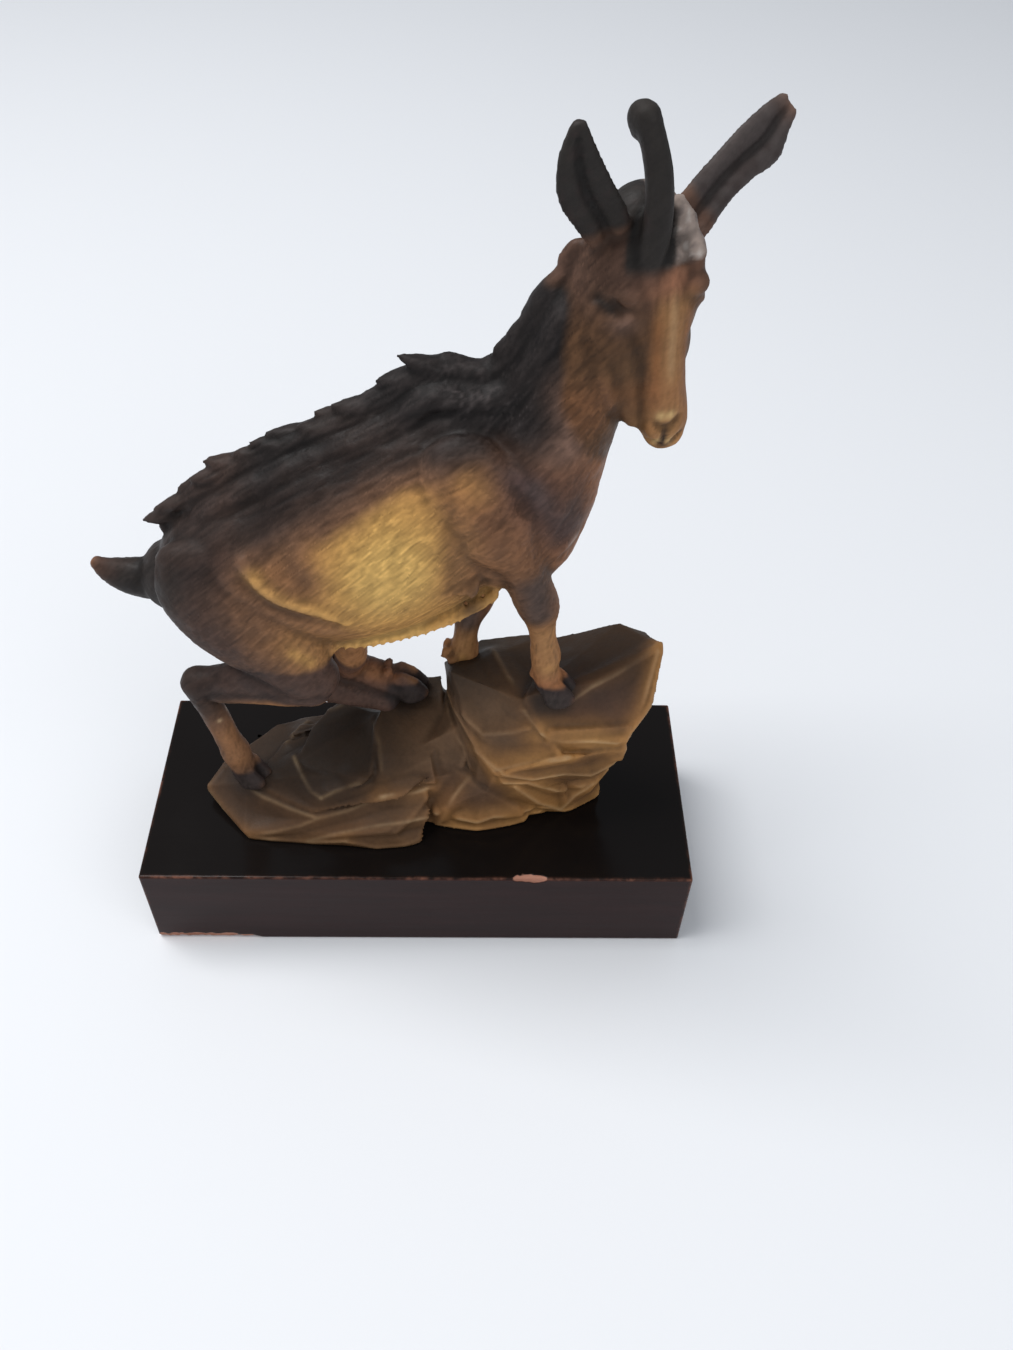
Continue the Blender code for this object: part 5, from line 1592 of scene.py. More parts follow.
RIDGES = (
    Ridge(0.45, 0.15, 1.5, (
        (49.9, 2.1, 44.9), (46.3, -1.1, 44.9), (40.5, -4.8, 43.3), (35.4, -7.3, 42.3),
        (31.9, -8.9, 40.3), (28.7, -9.0, 41.4), (26.2, -7.2, 42.6),
    )),
    Ridge(0.60, 0.90, 2.0, (
        (50.2, 1.0, 44.0), (50.0, -1.3, 41.5), (48.5, -6.1, 36.0), (45.0, -8.8, 29.9),
    )),
    Ridge(0.50, 0.60, 1.6, (
        (49.0, 0.1, 45.0), (47.0, -5.0, 38.4), (43.5, -9.3, 29.3),
    )),
    Ridge(0.75, 0.95, 3.2, (
        (25.8, -12.5, 33.6), (30.3, -12.3, 31.5), (36.1, -11.7, 30.7), (41.4, -10.7, 29.1),
        (44.1, -9.2, 29.5),
    )),
    Ridge(0.50, 0.10, 1.5, (
        (15.5, 6.4, 38.5), (18.6, -2.5, 39.9), (22.1, -10.5, 38.3), (25.7, -12.6, 33.5),
    )),
    Ridge(0.35, 0.20, 1.5, (
        (6.4, 2.0, 30.0), (8.6, -4.3, 29.8), (12.3, -10.0, 26.4), (16.1, -13.1, 22.2),
    )),
    Ridge(0.70, 0.80, 2.4, (
        (16.1, -13.3, 22.2), (21.8, -13.9, 25.1), (26.8, -14.5, 27.3), (31.5, -14.2, 28.1),
    )),
    Ridge(0.25, 0.10, 1.2, (
        (9.7, -5.9, 31.7), (13.8, -9.5, 29.8), (19.5, -11.3, 32.6), (23.0, -11.6, 34.3),
    )),
    Ridge(0.70, 0.70, 2.6, (
        (12.4, -10.1, 25.4), (18.3, -13.9, 22.0), (24.3, -13.2, 19.7), (30.9, -12.8, 20.9),
        (37.1, -11.4, 18.8), (41.6, -10.2, 21.8), (43.4, -9.9, 25.7),
    )),
    Ridge(0.60, 0.70, 2.6, (
        (18.4, -13.2, 18.4), (23.6, -12.8, 18.0), (30.1, -9.9, 11.4), (35.8, -7.1, 9.1),
        (41.5, -3.3, 10.6),
    )),
    Ridge(0.60, 0.75, 3.0, (
        (20.7, -12.7, 16.6), (26.5, -9.5, 6.3), (31.6, -7.4, 1.2), (34.4, -7.4, 6.2),
        (38.2, -6.7, 9.4), (41.5, -3.4, 10.5),
    )),
    Ridge(0.30, 0.90, 3.0, (
        (27.5, -8.7, 3.6), (32.6, -7.1, 0.4), (36.2, -5.0, 0.4), (40.2, -3.0, 0.9),
    )),
    Ridge(0.40, 0.30, 1.6, (
        (4.1, -11.3, 0.5), (7.9, -11.3, 11.1), (10.9, -10.3, 16.1),
    )),
    Ridge(0.60, 0.70, 3.0, (
        (8.7, -12.2, 3.9), (12.6, -12.8, 3.2), (16.4, -12.5, 4.8), (24.3, -9.2, 3.3),
    )),
    Ridge(0.20, 0.80, 3.0, (
        (4.3, -11.1, 0.4), (12.6, -12.6, 0.4), (20.3, -10.9, 0.4), (26.8, -8.3, 1.4),
    )),
    Ridge(0.70, 0.45, 1.4, (
        (-47.3, -4.3, 3.1), (-43.5, -8.7, 2.1), (-37.2, -14.7, 0.6),
    )),
    Ridge(0.45, 0.60, 1.6, (
        (-37.1, -14.7, 0.5), (-30.0, -16.2, 0.5), (-24.5, -16.6, 0.6), (-15.8, -17.1, 1.9),
    )),
    Ridge(0.40, 0.15, 1.2, (
        (-47.3, -4.1, 4.1), (-44.4, -0.6, 6.3), (-40.2, -0.8, 8.1),
    )),
    Ridge(0.60, 0.40, 2.0, (
        (-38.5, -6.9, 8.4), (-34.5, -9.4, 7.3), (-28.1, -12.0, 6.5), (-21.9, -14.2, 6.0),
        (-15.7, -13.4, 7.6), (-11.1, -12.3, 9.4), (-6.4, -12.9, 12.8), (-0.5, -11.1, 11.7),
        (2.7, -9.2, 11.8),
    )),
    Ridge(0.50, 0.40, 1.6, (
        (-37.3, -14.5, 0.6), (-31.3, -15.3, 2.5), (-25.8, -14.9, 4.2), (-21.9, -14.2, 6.0),
    )),
    Ridge(0.60, 0.50, 2.0, (
        (-24.4, -16.4, 0.8), (-18.0, -16.7, 3.7), (-10.3, -16.1, 5.7), (-2.7, -15.5, 6.7),
        (3.9, -11.7, 4.8),
    )),
    Ridge(0.15, 0.65, 2.6, (
        (-15.8, -17.1, 1.7), (-9.8, -17.6, 0.4), (-3.6, -17.1, 0.4), (0.1, -15.5, 0.7),
    )),
    Ridge(0.50, 0.0, 1.0, (
        (-28.0, -1.7, 12.0), (-25.8, -6.8, 12.3), (-23.4, -10.2, 10.4), (-21.2, -11.5, 9.7),
    )),
    Ridge(0.35, 0.15, 1.4, (
        (-21.2, -11.5, 9.7), (-17.9, -10.8, 11.4), (-12.5, -10.3, 13.9),
    )),
    Ridge(0.30, 0.85, 2.4, (
        (-8.1, -12.9, 12.4), (-2.7, -11.4, 11.4), (1.4, -10.3, 11.6),
    )),
    Ridge(0.20, 0.10, 1.2, (
        (-9.9, 1.6, 20.3), (-8.5, -3.9, 18.7), (-8.0, -8.2, 15.6),
    )),
    Ridge(0.20, 0.05, 1.2, (
        (-30.2, 3.4, 10.6), (-26.4, 10.9, 9.2), (-19.7, 8.1, 16.6), (-13.8, 9.1, 17.9),
    )),
    Ridge(0.25, 0.10, 1.4, (
        (5.3, 6.7, 24.1), (7.1, -2.1, 25.0), (9.7, -6.7, 22.3), (11.3, -8.8, 17.8),
    )),
)


# How far under its seat a stone reaches, in shares of the rock's height.
BASE = -0.05
# The corners of each stone, in shares of the rock's size.
STONES = (
    (
        (0.74, -0.40, 0.93), (1.05, 0.06, 0.99), (1.01, -0.34, 0.78), (0.90, -0.63, 0.65),
        (0.55, -0.74, 0.72), (0.45, -0.57, 0.91), (0.60, 0.70, 0.80), (0.88, 0.66, 0.91),
        (1.00, 0.48, 0.92), (0.86, -0.10, 0.20), (0.70, -0.30, 0.25), (0.50, 0.50, 0.30),
        (0.45, -0.20, 0.30),
    ),
    (
        (0.14, -0.06, 0.86), (0.20, -0.29, 0.73), (0.27, -0.63, 0.54), (0.34, -0.76, 0.46),
        (0.62, -0.80, 0.62), (0.46, -0.57, 0.88), (0.27, 0.74, 0.77), (0.60, 0.74, 0.82),
        (0.10, 0.40, 0.74), (0.20, 0.70, BASE), (0.75, 0.60, BASE), (0.25, -0.60, BASE),
        (0.70, -0.35, BASE),
    ),
    (
        (0.34, -0.80, 0.47), (0.62, -0.85, 0.62), (0.90, -0.62, 0.57), (0.80, -0.60, 0.35),
        (0.42, -0.70, 0.30), (0.85, -0.18, 0.20), (0.40, 0.0, 0.20), (0.80, 0.30, 0.40),
    ),
    (
        (0.60, -0.44, 0.26), (0.80, -0.40, 0.16), (0.84, -0.15, 0.08), (0.68, -0.40, BASE),
        (0.84, -0.12, BASE), (0.45, -0.50, BASE), (0.45, -0.45, 0.30), (0.90, -0.20, 0.45),
        (0.70, 0.40, BASE), (0.40, 0.40, BASE),
    ),
    (
        (0.06, -0.66, 0.10), (0.30, -0.74, 0.30), (0.46, -0.66, 0.12), (0.50, -0.56, BASE),
        (0.07, -0.62, BASE), (0.26, -0.72, BASE), (0.10, -0.40, 0.40), (0.50, -0.30, 0.40),
        (0.20, 0.20, BASE), (0.50, 0.20, BASE),
    ),
    (
        (-1.00, -0.22, 0.08), (-0.98, -0.10, BASE), (-0.80, -0.86, 0.03), (-0.72, -0.92, BASE),
        (-0.50, -0.96, BASE), (-0.10, -0.98, 0.10), (-0.08, -0.95, BASE), (0.05, -0.66, 0.22),
        (0.02, -0.60, BASE), (-0.80, -0.36, 0.19), (-0.92, 0.10, 0.14), (-0.80, 0.78, BASE),
        (-0.70, 0.60, 0.20), (-0.45, 0.90, 0.16), (0.0, 0.70, BASE), (-0.48, -0.78, 0.13),
        (0.0, -0.50, 0.30),
    ),
    (
        (-0.80, -0.36, 0.21), (-0.70, -0.50, 0.17), (-0.48, -0.76, 0.15), (-0.08, -0.78, 0.27),
        (0.05, -0.62, 0.34), (-0.58, -0.20, 0.26), (-0.65, 0.20, 0.22), (-0.30, 0.50, 0.30),
        (0.05, 0.40, 0.30), (-0.10, -0.50, 0.34),
    ),
    (
        (-0.57, -0.20, 0.26), (-0.50, -0.44, 0.19), (-0.44, -0.56, 0.18), (-0.22, -0.62, 0.33),
        (-0.20, -0.30, 0.36), (-0.18, 0.22, 0.46), (-0.40, 0.56, 0.36), (-0.52, 0.30, 0.30),
        (-0.30, 0.80, BASE), (0.0, 0.60, 0.30),
    ),
    (
        (-0.22, -0.30, 0.37), (-0.18, 0.22, 0.50), (-0.16, 0.60, 0.53), (0.10, 0.64, 0.56),
        (0.10, 0.10, 0.52), (0.06, -0.44, 0.42), (0.08, -0.62, 0.30), (-0.15, -0.58, 0.30),
        (0.15, 0.60, 0.10), (-0.25, 0.80, BASE),
    ),
    (
        (-0.05, -0.56, 0.10), (0.10, -0.60, BASE), (0.20, -0.50, 0.40), (-0.05, -0.30, 0.40),
        (0.12, 0.20, 0.52), (0.25, -0.20, 0.60), (0.20, 0.50, 0.55), (-0.10, 0.50, 0.40),
        (-0.05, 0.60, BASE), (0.25, 0.60, BASE), (-0.05, -0.45, BASE), (0.25, -0.50, BASE),
    ),
    (
        (-0.84, 0.80, BASE), (-0.68, 0.78, 0.05), (-0.62, 1.00, 0.02), (-0.30, 0.95, BASE),
        (-0.30, 0.90, 0.20), (-0.60, 0.30, 0.24), (-0.10, 0.60, 0.40), (-0.10, 0.80, BASE),
    ),
    (
        (0.56, -0.74, 0.50), (0.90, -0.62, 0.50), (0.92, -0.58, 0.72), (0.56, -0.76, 0.76),
        (0.62, 0.30, 0.50), (0.94, 0.20, 0.54), (0.97, 0.20, 0.72), (0.62, 0.30, 0.74),
    ),
    (
        (-0.60, -0.12, 0.03), (-0.30, -0.10, 0.03), (-0.33, 0.05, 0.25), (-0.57, -0.02, 0.225),
        (-0.60, 0.60, 0.03), (-0.30, 0.60, 0.03), (-0.33, 0.55, 0.26), (-0.57, 0.50, 0.225),
    ),
    (
        (-0.06, -0.66, 0.01), (0.19, -0.62, 0.01), (-0.04, -0.54, 0.30), (0.19, -0.53, 0.34),
        (-0.04, 0.30, 0.01), (0.19, 0.30, 0.01), (-0.04, 0.30, 0.36), (0.19, 0.30, 0.40),
    ),
    (
        (-0.60, -0.94, BASE), (-0.20, -1.02, BASE), (0.0, -0.96, BASE), (0.06, -0.70, 0.16),
        (-0.38, -0.96, 0.07), (-0.15, -0.98, 0.12), (-0.30, -0.50, 0.15),
    ),
)
# The hooves round which a painted shadow darkens the stone they stand on.
HOOF_SHADOWS = ("near_fore", "near_hind", "far_hind")
LEDGE_STROKE = Stroke(PAINT.ledge, 6.5, 0.7, ((-2.0, -14, 47.0), (1.0, -13, 40.0), (0.0, -15, 33.0)), False)
STONE_STROKES = (
    # Painted light: the first stroke lifts the shade across the middle of the rock's front.
    Stroke(PAINT.painted_light, 7.5, 0.75, ((4.0, -3, 45.0), (10.0, -6, 53.0), (17.0, -6, 59.0)), False),
    Stroke(PAINT.umber, 7.0, 0.75, ((31.0, -10, 63.0), (40.0, -8, 61.0)), False),
    Stroke(PAINT.brown, 4.0, 0.45, ((43.0, -7, 61.0),), False),
    Stroke(PAINT.brown, 3.5, 0.6, ((5.5, -11, 40.0), (6.5, -12, 34.0)), False),
)


@dataclass
class Rock:
    """The rock: overlapping stones with worn ridges."""

    pose: Pose
    voxel: float = 0.00040
    rounds: int = 5
    ridge_rise: float = 0.62
    ridge_width: float = 0.85
    face_sink: float = 0.45

    def build(self) -> bpy.types.Object:
        """Fuse the stones, sharpen their ridges, press them flat underneath and paint them."""
        clay = Clay(self.voxel)
        for corners in STONES:
            clay.add(stone([self.pose.on_rock(*corner) for corner in corners]))
        skin = clay.fuse()
        skin.soften(self.rounds)
        base = np.array([0, 0, self.pose.block_top + self.pose.seat_gap])
        nearest = [skin.reach(np.array(ridge.path) / MM + base) * MM for ridge in RIDGES]
        apart = np.min(nearest, axis=0)
        swell = mottle(skin.points, SWELL)
        crest = self.ridge_rise * np.exp(-apart / self.ridge_width)
        crest = crest - self.face_sink * ramp(apart, 0.6, 4.5)
        skin.push((crest + swell * ramp(apart, 0.3, 3.0)) / MM)
        skin.soften(1)
        skin.sit(float(base[2]))
        self.paint(skin, nearest)
        return skin.finish("rock", ResinFinish("painted_rock", hair=0.0))

    def paint(self, skin: Skin, nearest: list[np.ndarray]) -> None:
        """Paint the rock dark above and honey towards its lower ridges, and wear the ridges pale."""
        brush = Painter(skin)
        x, y, z = skin.points.T * MM
        level = z - self.pose.block_top * MM
        up = skin.normals()[:, 2]
        mist = mottle(skin.points, ROCK_MIST)
        brush.spray(PAINT.stain, ramp(level + 3 * mist, -3.0, 9.0) * 0.75)
        brush.spray(PAINT.shade, ramp(level + 3 * mist + 6 * up, 12.0, 22.0) * 0.85)
        brush.spray(PAINT.shade, ramp(up, 0.55, 0.9) * ramp(level, 5.0, 10.0) * 0.7)
        brush.spray(PAINT.brown, ramp(y, 0.0, -13.0) * ramp(level, 20.0, 12.0) * 0.35)
        west = ramp(x, 7.0, 0.0)
        brush.spray(PAINT.peat, 0.88 * ramp(x, -8.0, -16.0))
        brush.spray(PAINT.loam, 0.80 * west * ramp(x, -16.0, -8.0))
        brush.spray(PAINT.gloom, 0.65 * west * ramp(level + 2 * mist, 6.0, 12.0) * ramp(x, -2, -12))
        brush.spray(PAINT.clay, 0.7 * west * ramp(level + 2 * mist, 5.0, 1.0))
        brush.draw(LEDGE_STROKE)
        east = ramp(x, 14.0, 24.0)
        brush.spray(PAINT.earth, 0.8 * east * ramp(level + 2 * mist, 3.0, 8.0))
        brush.spray(PAINT.dusk, 0.85 * east * ramp(level - 0.20 * x + 2 * mist, 7.0, 12.0))
        brush.draw(*STONE_STROKES)
        for ridge, apart in zip(RIDGES, nearest):
            glow = ridge.glow * np.exp(-((apart / (1.45 * ridge.spread)) ** 2))
            glow = glow * np.clip(0.80 + 0.5 * mist, 0, 1)
            glow = glow * (1 - 0.62 * west)
            brush.spray(PAINT.glow, 0.72 * glow)
            brush.spray(PAINT.honey, 0.45 * glow**2)
        brush.spray(PAINT.gold, 0.45 * ramp(level, 5.0, 0.5) * ramp(x, 0, 20))
        # Dry-brushed pale on the stones' ridges, and painted shade darkening their hollows.
        fold = skin.bend()
        wide = skin.mean(skin.mean(fold))
        brush.drybrush_and_crease_shade(np.clip(wide / 0.00002, -1, 1), 0.30)
        for ridge, apart in zip(RIDGES, nearest):
            worn = np.clip(0.45 + 0.9 * mist + 0.5 * ridge.glow, 0.05, 1)
            brush.spray(PAINT.pale, 0.62 * ridge.light * worn * np.exp(-((apart / 0.42) ** 2)))
        # Painted shadow: the stone darkened round the hooves where they stand on it.
        place = self.pose.hooves()
        for name in HOOF_SHADOWS:
            apart = (skin.points - place[name]) * MM / (4.6, 5.0, 4.0) + (0, 0, 0.3)
            apart = np.linalg.norm(apart, axis=1)
            brush.spray(PAINT.hoof_shadow, 0.8 * ramp(apart + 0.3 * mist, 1.5, 0.7))
        brush.keep()
        skin.values["strokes"] = np.zeros(len(skin.points))


class Web:
    """A node tree that is written link by link."""

    def __init__(self, tree: bpy.types.NodeTree) -> None:
        """Keep the tree."""
        self.tree = tree

    def node(self, kind: str, **settings: object) -> bpy.types.Node:
        """Add a node and set its properties; a key that starts with in_ sets that input."""
        made = self.tree.nodes.new(kind)
        for key, value in settings.items():
            if key.startswith("in_"):
                name = key[3:]
                made.inputs[name.replace("_", " ")].default_value = value
            else:
                setattr(made, key, value)
        return made

    def link(self, source: bpy.types.NodeSocket, target: bpy.types.NodeSocket) -> None:
        """Join two sockets."""
        self.tree.links.new(source, target)

    def math(
        self, operation: str, first: object, second: object, clamp: bool = False
    ) -> bpy.types.NodeSocket:
        """Add a math node between two sockets or numbers and return its result."""
        made = self.node("ShaderNodeMath", operation=operation, use_clamp=clamp)
        for socket, value in zip(made.inputs, (first, second)):
            if isinstance(value, (int, float)):
                socket.default_value = value
            else:
                self.link(value, socket)
        return made.outputs[0]

    def noise(self, vector: bpy.types.NodeSocket, scale: float, detail: float = 3.0) -> bpy.types.NodeSocket:
        """Add a noise texture and return its value."""
        made = self.node("ShaderNodeTexNoise", in_Scale=scale, in_Detail=detail)
        self.link(vector, made.inputs["Vector"])
        return made.outputs["Fac"]

    def spread(self, value: bpy.types.NodeSocket, low: float, high: float) -> bpy.types.NodeSocket:
        """Stretch the values from low to high over 0 to 1."""
        made = self.node("ShaderNodeMapRange", in_From_Min=low, in_From_Max=high)
        self.link(value, made.inputs["Value"])
        return made.outputs["Result"]

    def mix(self, mask: object, first: object, second: object) -> bpy.types.NodeSocket:
        """Mix two colours by a mask."""
        made = self.node("ShaderNodeMix", data_type="RGBA")
        sockets = (made.inputs[0], made.inputs[6], made.inputs[7])
        for socket, value in zip(sockets, (mask, first, second)):
            if isinstance(value, bpy.types.NodeSocket):
                self.link(value, socket)
            elif isinstance(value, tuple):
                socket.default_value = (*value[:3], 1.0)
            else:
                socket.default_value = value
        return made.outputs[2]


def group(
    name: str, inputs: dict[str, tuple[str, object]], outputs: dict[str, str]
) -> tuple[Web, bpy.types.Node, bpy.types.Node]:
    """Start a node group with named sockets.

    Args:
        name: The group's name.
        inputs: Socket type and default by socket name.
        outputs: Socket type by socket name.

    Returns:
        The group's web, its input node and its output node.
    """
    tree = bpy.data.node_groups.new(name, "ShaderNodeTree")
    for key, (kind, value) in inputs.items():
        socket = tree.interface.new_socket(key, in_out="INPUT", socket_type=kind)
        if value is not None:
            socket.default_value = value
    for key, kind in outputs.items():
        tree.interface.new_socket(key, in_out="OUTPUT", socket_type=kind)
    web = Web(tree)
    return web, web.node("NodeGroupInput"), web.node("NodeGroupOutput")


def hand_paint_group() -> bpy.types.NodeTree:
    """Make the effect of hand-laid paint: speckle, thin patches and a fine grain height."""
    found = bpy.data.node_groups.get("hand_paint")
    if found:
        return found
    web, start, end = group(
        "hand_paint",
        {
            "Place": ("NodeSocketVector", None),
            "Coat": ("NodeSocketColor", (0.5, 0.5, 0.5, 1)),
            "Speckle": ("NodeSocketFloat", 0.3),
            "Grain": ("NodeSocketFloat", 1.0),
        },
        {"Colour": "NodeSocketColor", "Height": "NodeSocketFloat", "Gloss": "NodeSocketFloat"},
    )
    place = start.outputs["Place"]
    coarse = web.spread(web.noise(place, 260.0, 4.0), 0.32, 0.68)
    fine = web.spread(web.noise(place, 1100.0, 3.0), 0.30, 0.70)
    both = web.math("ADD", web.math("MULTIPLY", coarse, 0.55), web.math("MULTIPLY", fine, 0.45))
    shade = web.math("SUBTRACT", both, 0.5)
    shade = web.math("MULTIPLY", shade, start.outputs["Speckle"])
    shade = web.math("ADD", shade, 1.0)
    scale = web.node("ShaderNodeVectorMath", operation="SCALE")
    web.link(start.outputs["Coat"], scale.inputs[0])
    web.link(shade, scale.inputs["Scale"])
    web.link(scale.outputs[0], end.inputs["Colour"])
    grain = web.math("MULTIPLY", web.noise(place, 1500.0, 4.0), start.outputs["Grain"])
    web.link(grain, end.inputs["Height"])
    web.link(coarse, end.inputs["Gloss"])
    return web.tree


def hair_group() -> bpy.types.NodeTree:
    """Make the effect of fine hair strokes: noise stretched along the lie of the coat."""
    found = bpy.data.node_groups.get("hair_strokes")
    if found:
        return found
    web, start, end = group(
        "hair_strokes",
        {"Place": ("NodeSocketVector", None), "Depth": ("NodeSocketFloat", 1.0)},
        {"Height": "NodeSocketFloat", "Line": "NodeSocketFloat"},
    )
    turned = web.node("ShaderNodeMapping", vector_type="TEXTURE")
    turned.inputs["Rotation"].default_value = (0, math.radians(-42), 0)
    turned.inputs["Scale"].default_value = (6.0, 1.0, 1.0)
    web.link(start.outputs["Place"], turned.inputs["Vector"])
    lines = web.noise(turned.outputs[0], 1300.0, 2.0)
    broad = web.noise(turned.outputs[0], 620.0, 2.0)
    both = web.math("ADD", web.math("MULTIPLY", lines, 0.5), web.math("MULTIPLY", broad, 0.7))
    web.link(web.math("MULTIPLY", both, start.outputs["Depth"]), end.inputs["Height"])
    web.link(web.spread(both, 0.45, 0.75), end.inputs["Line"])
    return web.tree


@dataclass(frozen=True)
class ResinFinish:
    """Airbrushed paint on cast resin, under a thin satin varnish."""

    name: str
    hair: float = 1.0
    speckle: float = 0.30
    roughness: tuple[float, float] = (0.46, 0.66)
    hair_height: float = 2.0
    hair_lift: float = 0.14
    # How far raised hair strokes are lightened as dry-brush and the cuts between them darkened as painted
    # shade.
    stroke_wear_and_shade: float = 0.26
    bump: tuple[float, float] = (0.5, 0.00012)
    specular: float = 0.15

    def material(self) -> bpy.types.Material:
        """Build the material, which reads the coat's colour from the piece."""
        made = bpy.data.materials.new(self.name)
        made.use_nodes = True
        web = Web(made.node_tree)
        shader = made.node_tree.nodes["Principled BSDF"]
        place = web.node("ShaderNodeTexCoord").outputs["Object"]
        coat = web.node("ShaderNodeAttribute", attribute_name="coat").outputs["Color"]
        relief = web.node("ShaderNodeAttribute", attribute_name="strokes").outputs["Fac"]
        paint = web.node("ShaderNodeGroup", node_tree=hand_paint_group())
        paint.inputs["Speckle"].default_value = self.speckle
        web.link(place, paint.inputs["Place"])
        web.link(coat, paint.inputs["Coat"])
        colour = paint.outputs["Colour"]
        height = paint.outputs["Height"]
        if self.hair > 0:
            hair = web.node("ShaderNodeGroup", node_tree=hair_group())
            hair.inputs["Depth"].default_value = self.hair
            web.link(place, hair.inputs["Place"])
            hairs = web.math("MULTIPLY", hair.outputs["Height"], self.hair_height)
            height = web.math("ADD", height, hairs)
            lift = web.math("SUBTRACT", hair.outputs["Line"], 0.5)
            lift = web.math("ADD", web.math("MULTIPLY", lift, self.hair_lift), 1.0)
            # Raised strokes lightened as dry-brushed tips, and the cuts between them darkened as painted
            # shade.
            lift = web.math("ADD", lift, web.math("MULTIPLY", relief, self.stroke_wear_and_shade))
            scale = web.node("ShaderNodeVectorMath", operation="SCALE")
            web.link(colour, scale.inputs[0])
            web.link(lift, scale.inputs["Scale"])
            colour = scale.outputs[0]
        web.link(colour, shader.inputs["Base Color"])
        rough = web.node("ShaderNodeMapRange")
        rough.inputs["To Min"].default_value = self.roughness[0]
        rough.inputs["To Max"].default_value = self.roughness[1]
        web.link(paint.outputs["Gloss"], rough.inputs["Value"])
        web.link(rough.outputs["Result"], shader.inputs["Roughness"])
        bump = web.node("ShaderNodeBump", in_Strength=self.bump[0], in_Distance=self.bump[1])
        web.link(height, bump.inputs["Height"])
        web.link(bump.outputs["Normal"], shader.inputs["Normal"])
        shader.inputs["Specular IOR Level"].default_value = self.specular
        return made


@dataclass(frozen=True)
class LacquerFinish:
    """Dark lacquer on wood: black above, maroon at the sides, rubbed through at the edges."""

    name: str = "lacquered_wood"
    above: Colour = (0.0065, 0.0050, 0.0045)
    sides: Colour = (0.017, 0.0048, 0.0044)
    rubbed: Colour = (0.16, 0.062, 0.038)
    bare: Colour = (0.48, 0.24, 0.17)
    vein: Colour = (0.30, 0.13, 0.085)
    streaks: tuple[float, float] = (0.85, 1.2)
    stretch: tuple[float, float, float] = (0.12, 1.0, 1.0)
    smooth: float = 0.13
    smeared: float = 0.10
    bump: tuple[float, float] = (0.25, 0.0001)
    specular: float = 0.13

    def material(self) -> bpy.types.Material:
        """Build the material, which reads rubbed and bare places from the piece."""
        made = bpy.data.materials.new(self.name)
        made.use_nodes = True
        web = Web(made.node_tree)
        shader = made.node_tree.nodes["Principled BSDF"]
        place = web.node("ShaderNodeTexCoord").outputs["Object"]
        upward = web.node("ShaderNodeAttribute", attribute_name="upward").outputs["Fac"]
        rubbed = web.node("ShaderNodeAttribute", attribute_name="rubbed").outputs["Fac"]
        bare = web.node("ShaderNodeAttribute", attribute_name="bare").outputs["Fac"]
        grained = web.node("ShaderNodeMapping")
        grained.inputs["Scale"].default_value = self.stretch
        web.link(place, grained.inputs["Vector"])
        streak = web.spread(web.noise(grained.outputs[0], 420.0, 5.0), 0.35, 0.7)
        dull, rich = (tuple(share * part for part in self.sides) for share in self.streaks)
        sides = web.mix(streak, dull, rich)
        colour = web.mix(upward, sides, self.above)
        patch = web.spread(web.noise(place, 700.0, 4.0), 0.40, 0.62)
        wear = web.math("MULTIPLY", rubbed, web.math("ADD", web.math("MULTIPLY", patch, 0.8), 0.2), True)
        colour = web.mix(wear, colour, self.rubbed)
        vein = web.spread(web.noise(grained.outputs[0], 900.0, 3.0), 0.3, 0.7)
        wood = web.mix(vein, self.bare, self.vein)
        colour = web.mix(bare, colour, wood)
        web.link(colour, shader.inputs["Base Color"])
        smear = web.spread(web.noise(place, 60.0, 4.0), 0.35, 0.75)
        rough = web.math("ADD", web.math("MULTIPLY", smear, self.smeared), self.smooth)
        rough = web.math("ADD", rough, web.math("MULTIPLY", wear, 0.3))
        rough = web.math("ADD", rough, web.math("MULTIPLY", bare, 0.5))
        web.link(rough, shader.inputs["Roughness"])
        bump = web.node("ShaderNodeBump", in_Strength=self.bump[0], in_Distance=self.bump[1])
        web.link(web.noise(grained.outputs[0], 500.0, 3.0), bump.inputs["Height"])
        web.link(bump.outputs["Normal"], shader.inputs["Normal"])
        shader.inputs["Specular IOR Level"].default_value = self.specular
        return made


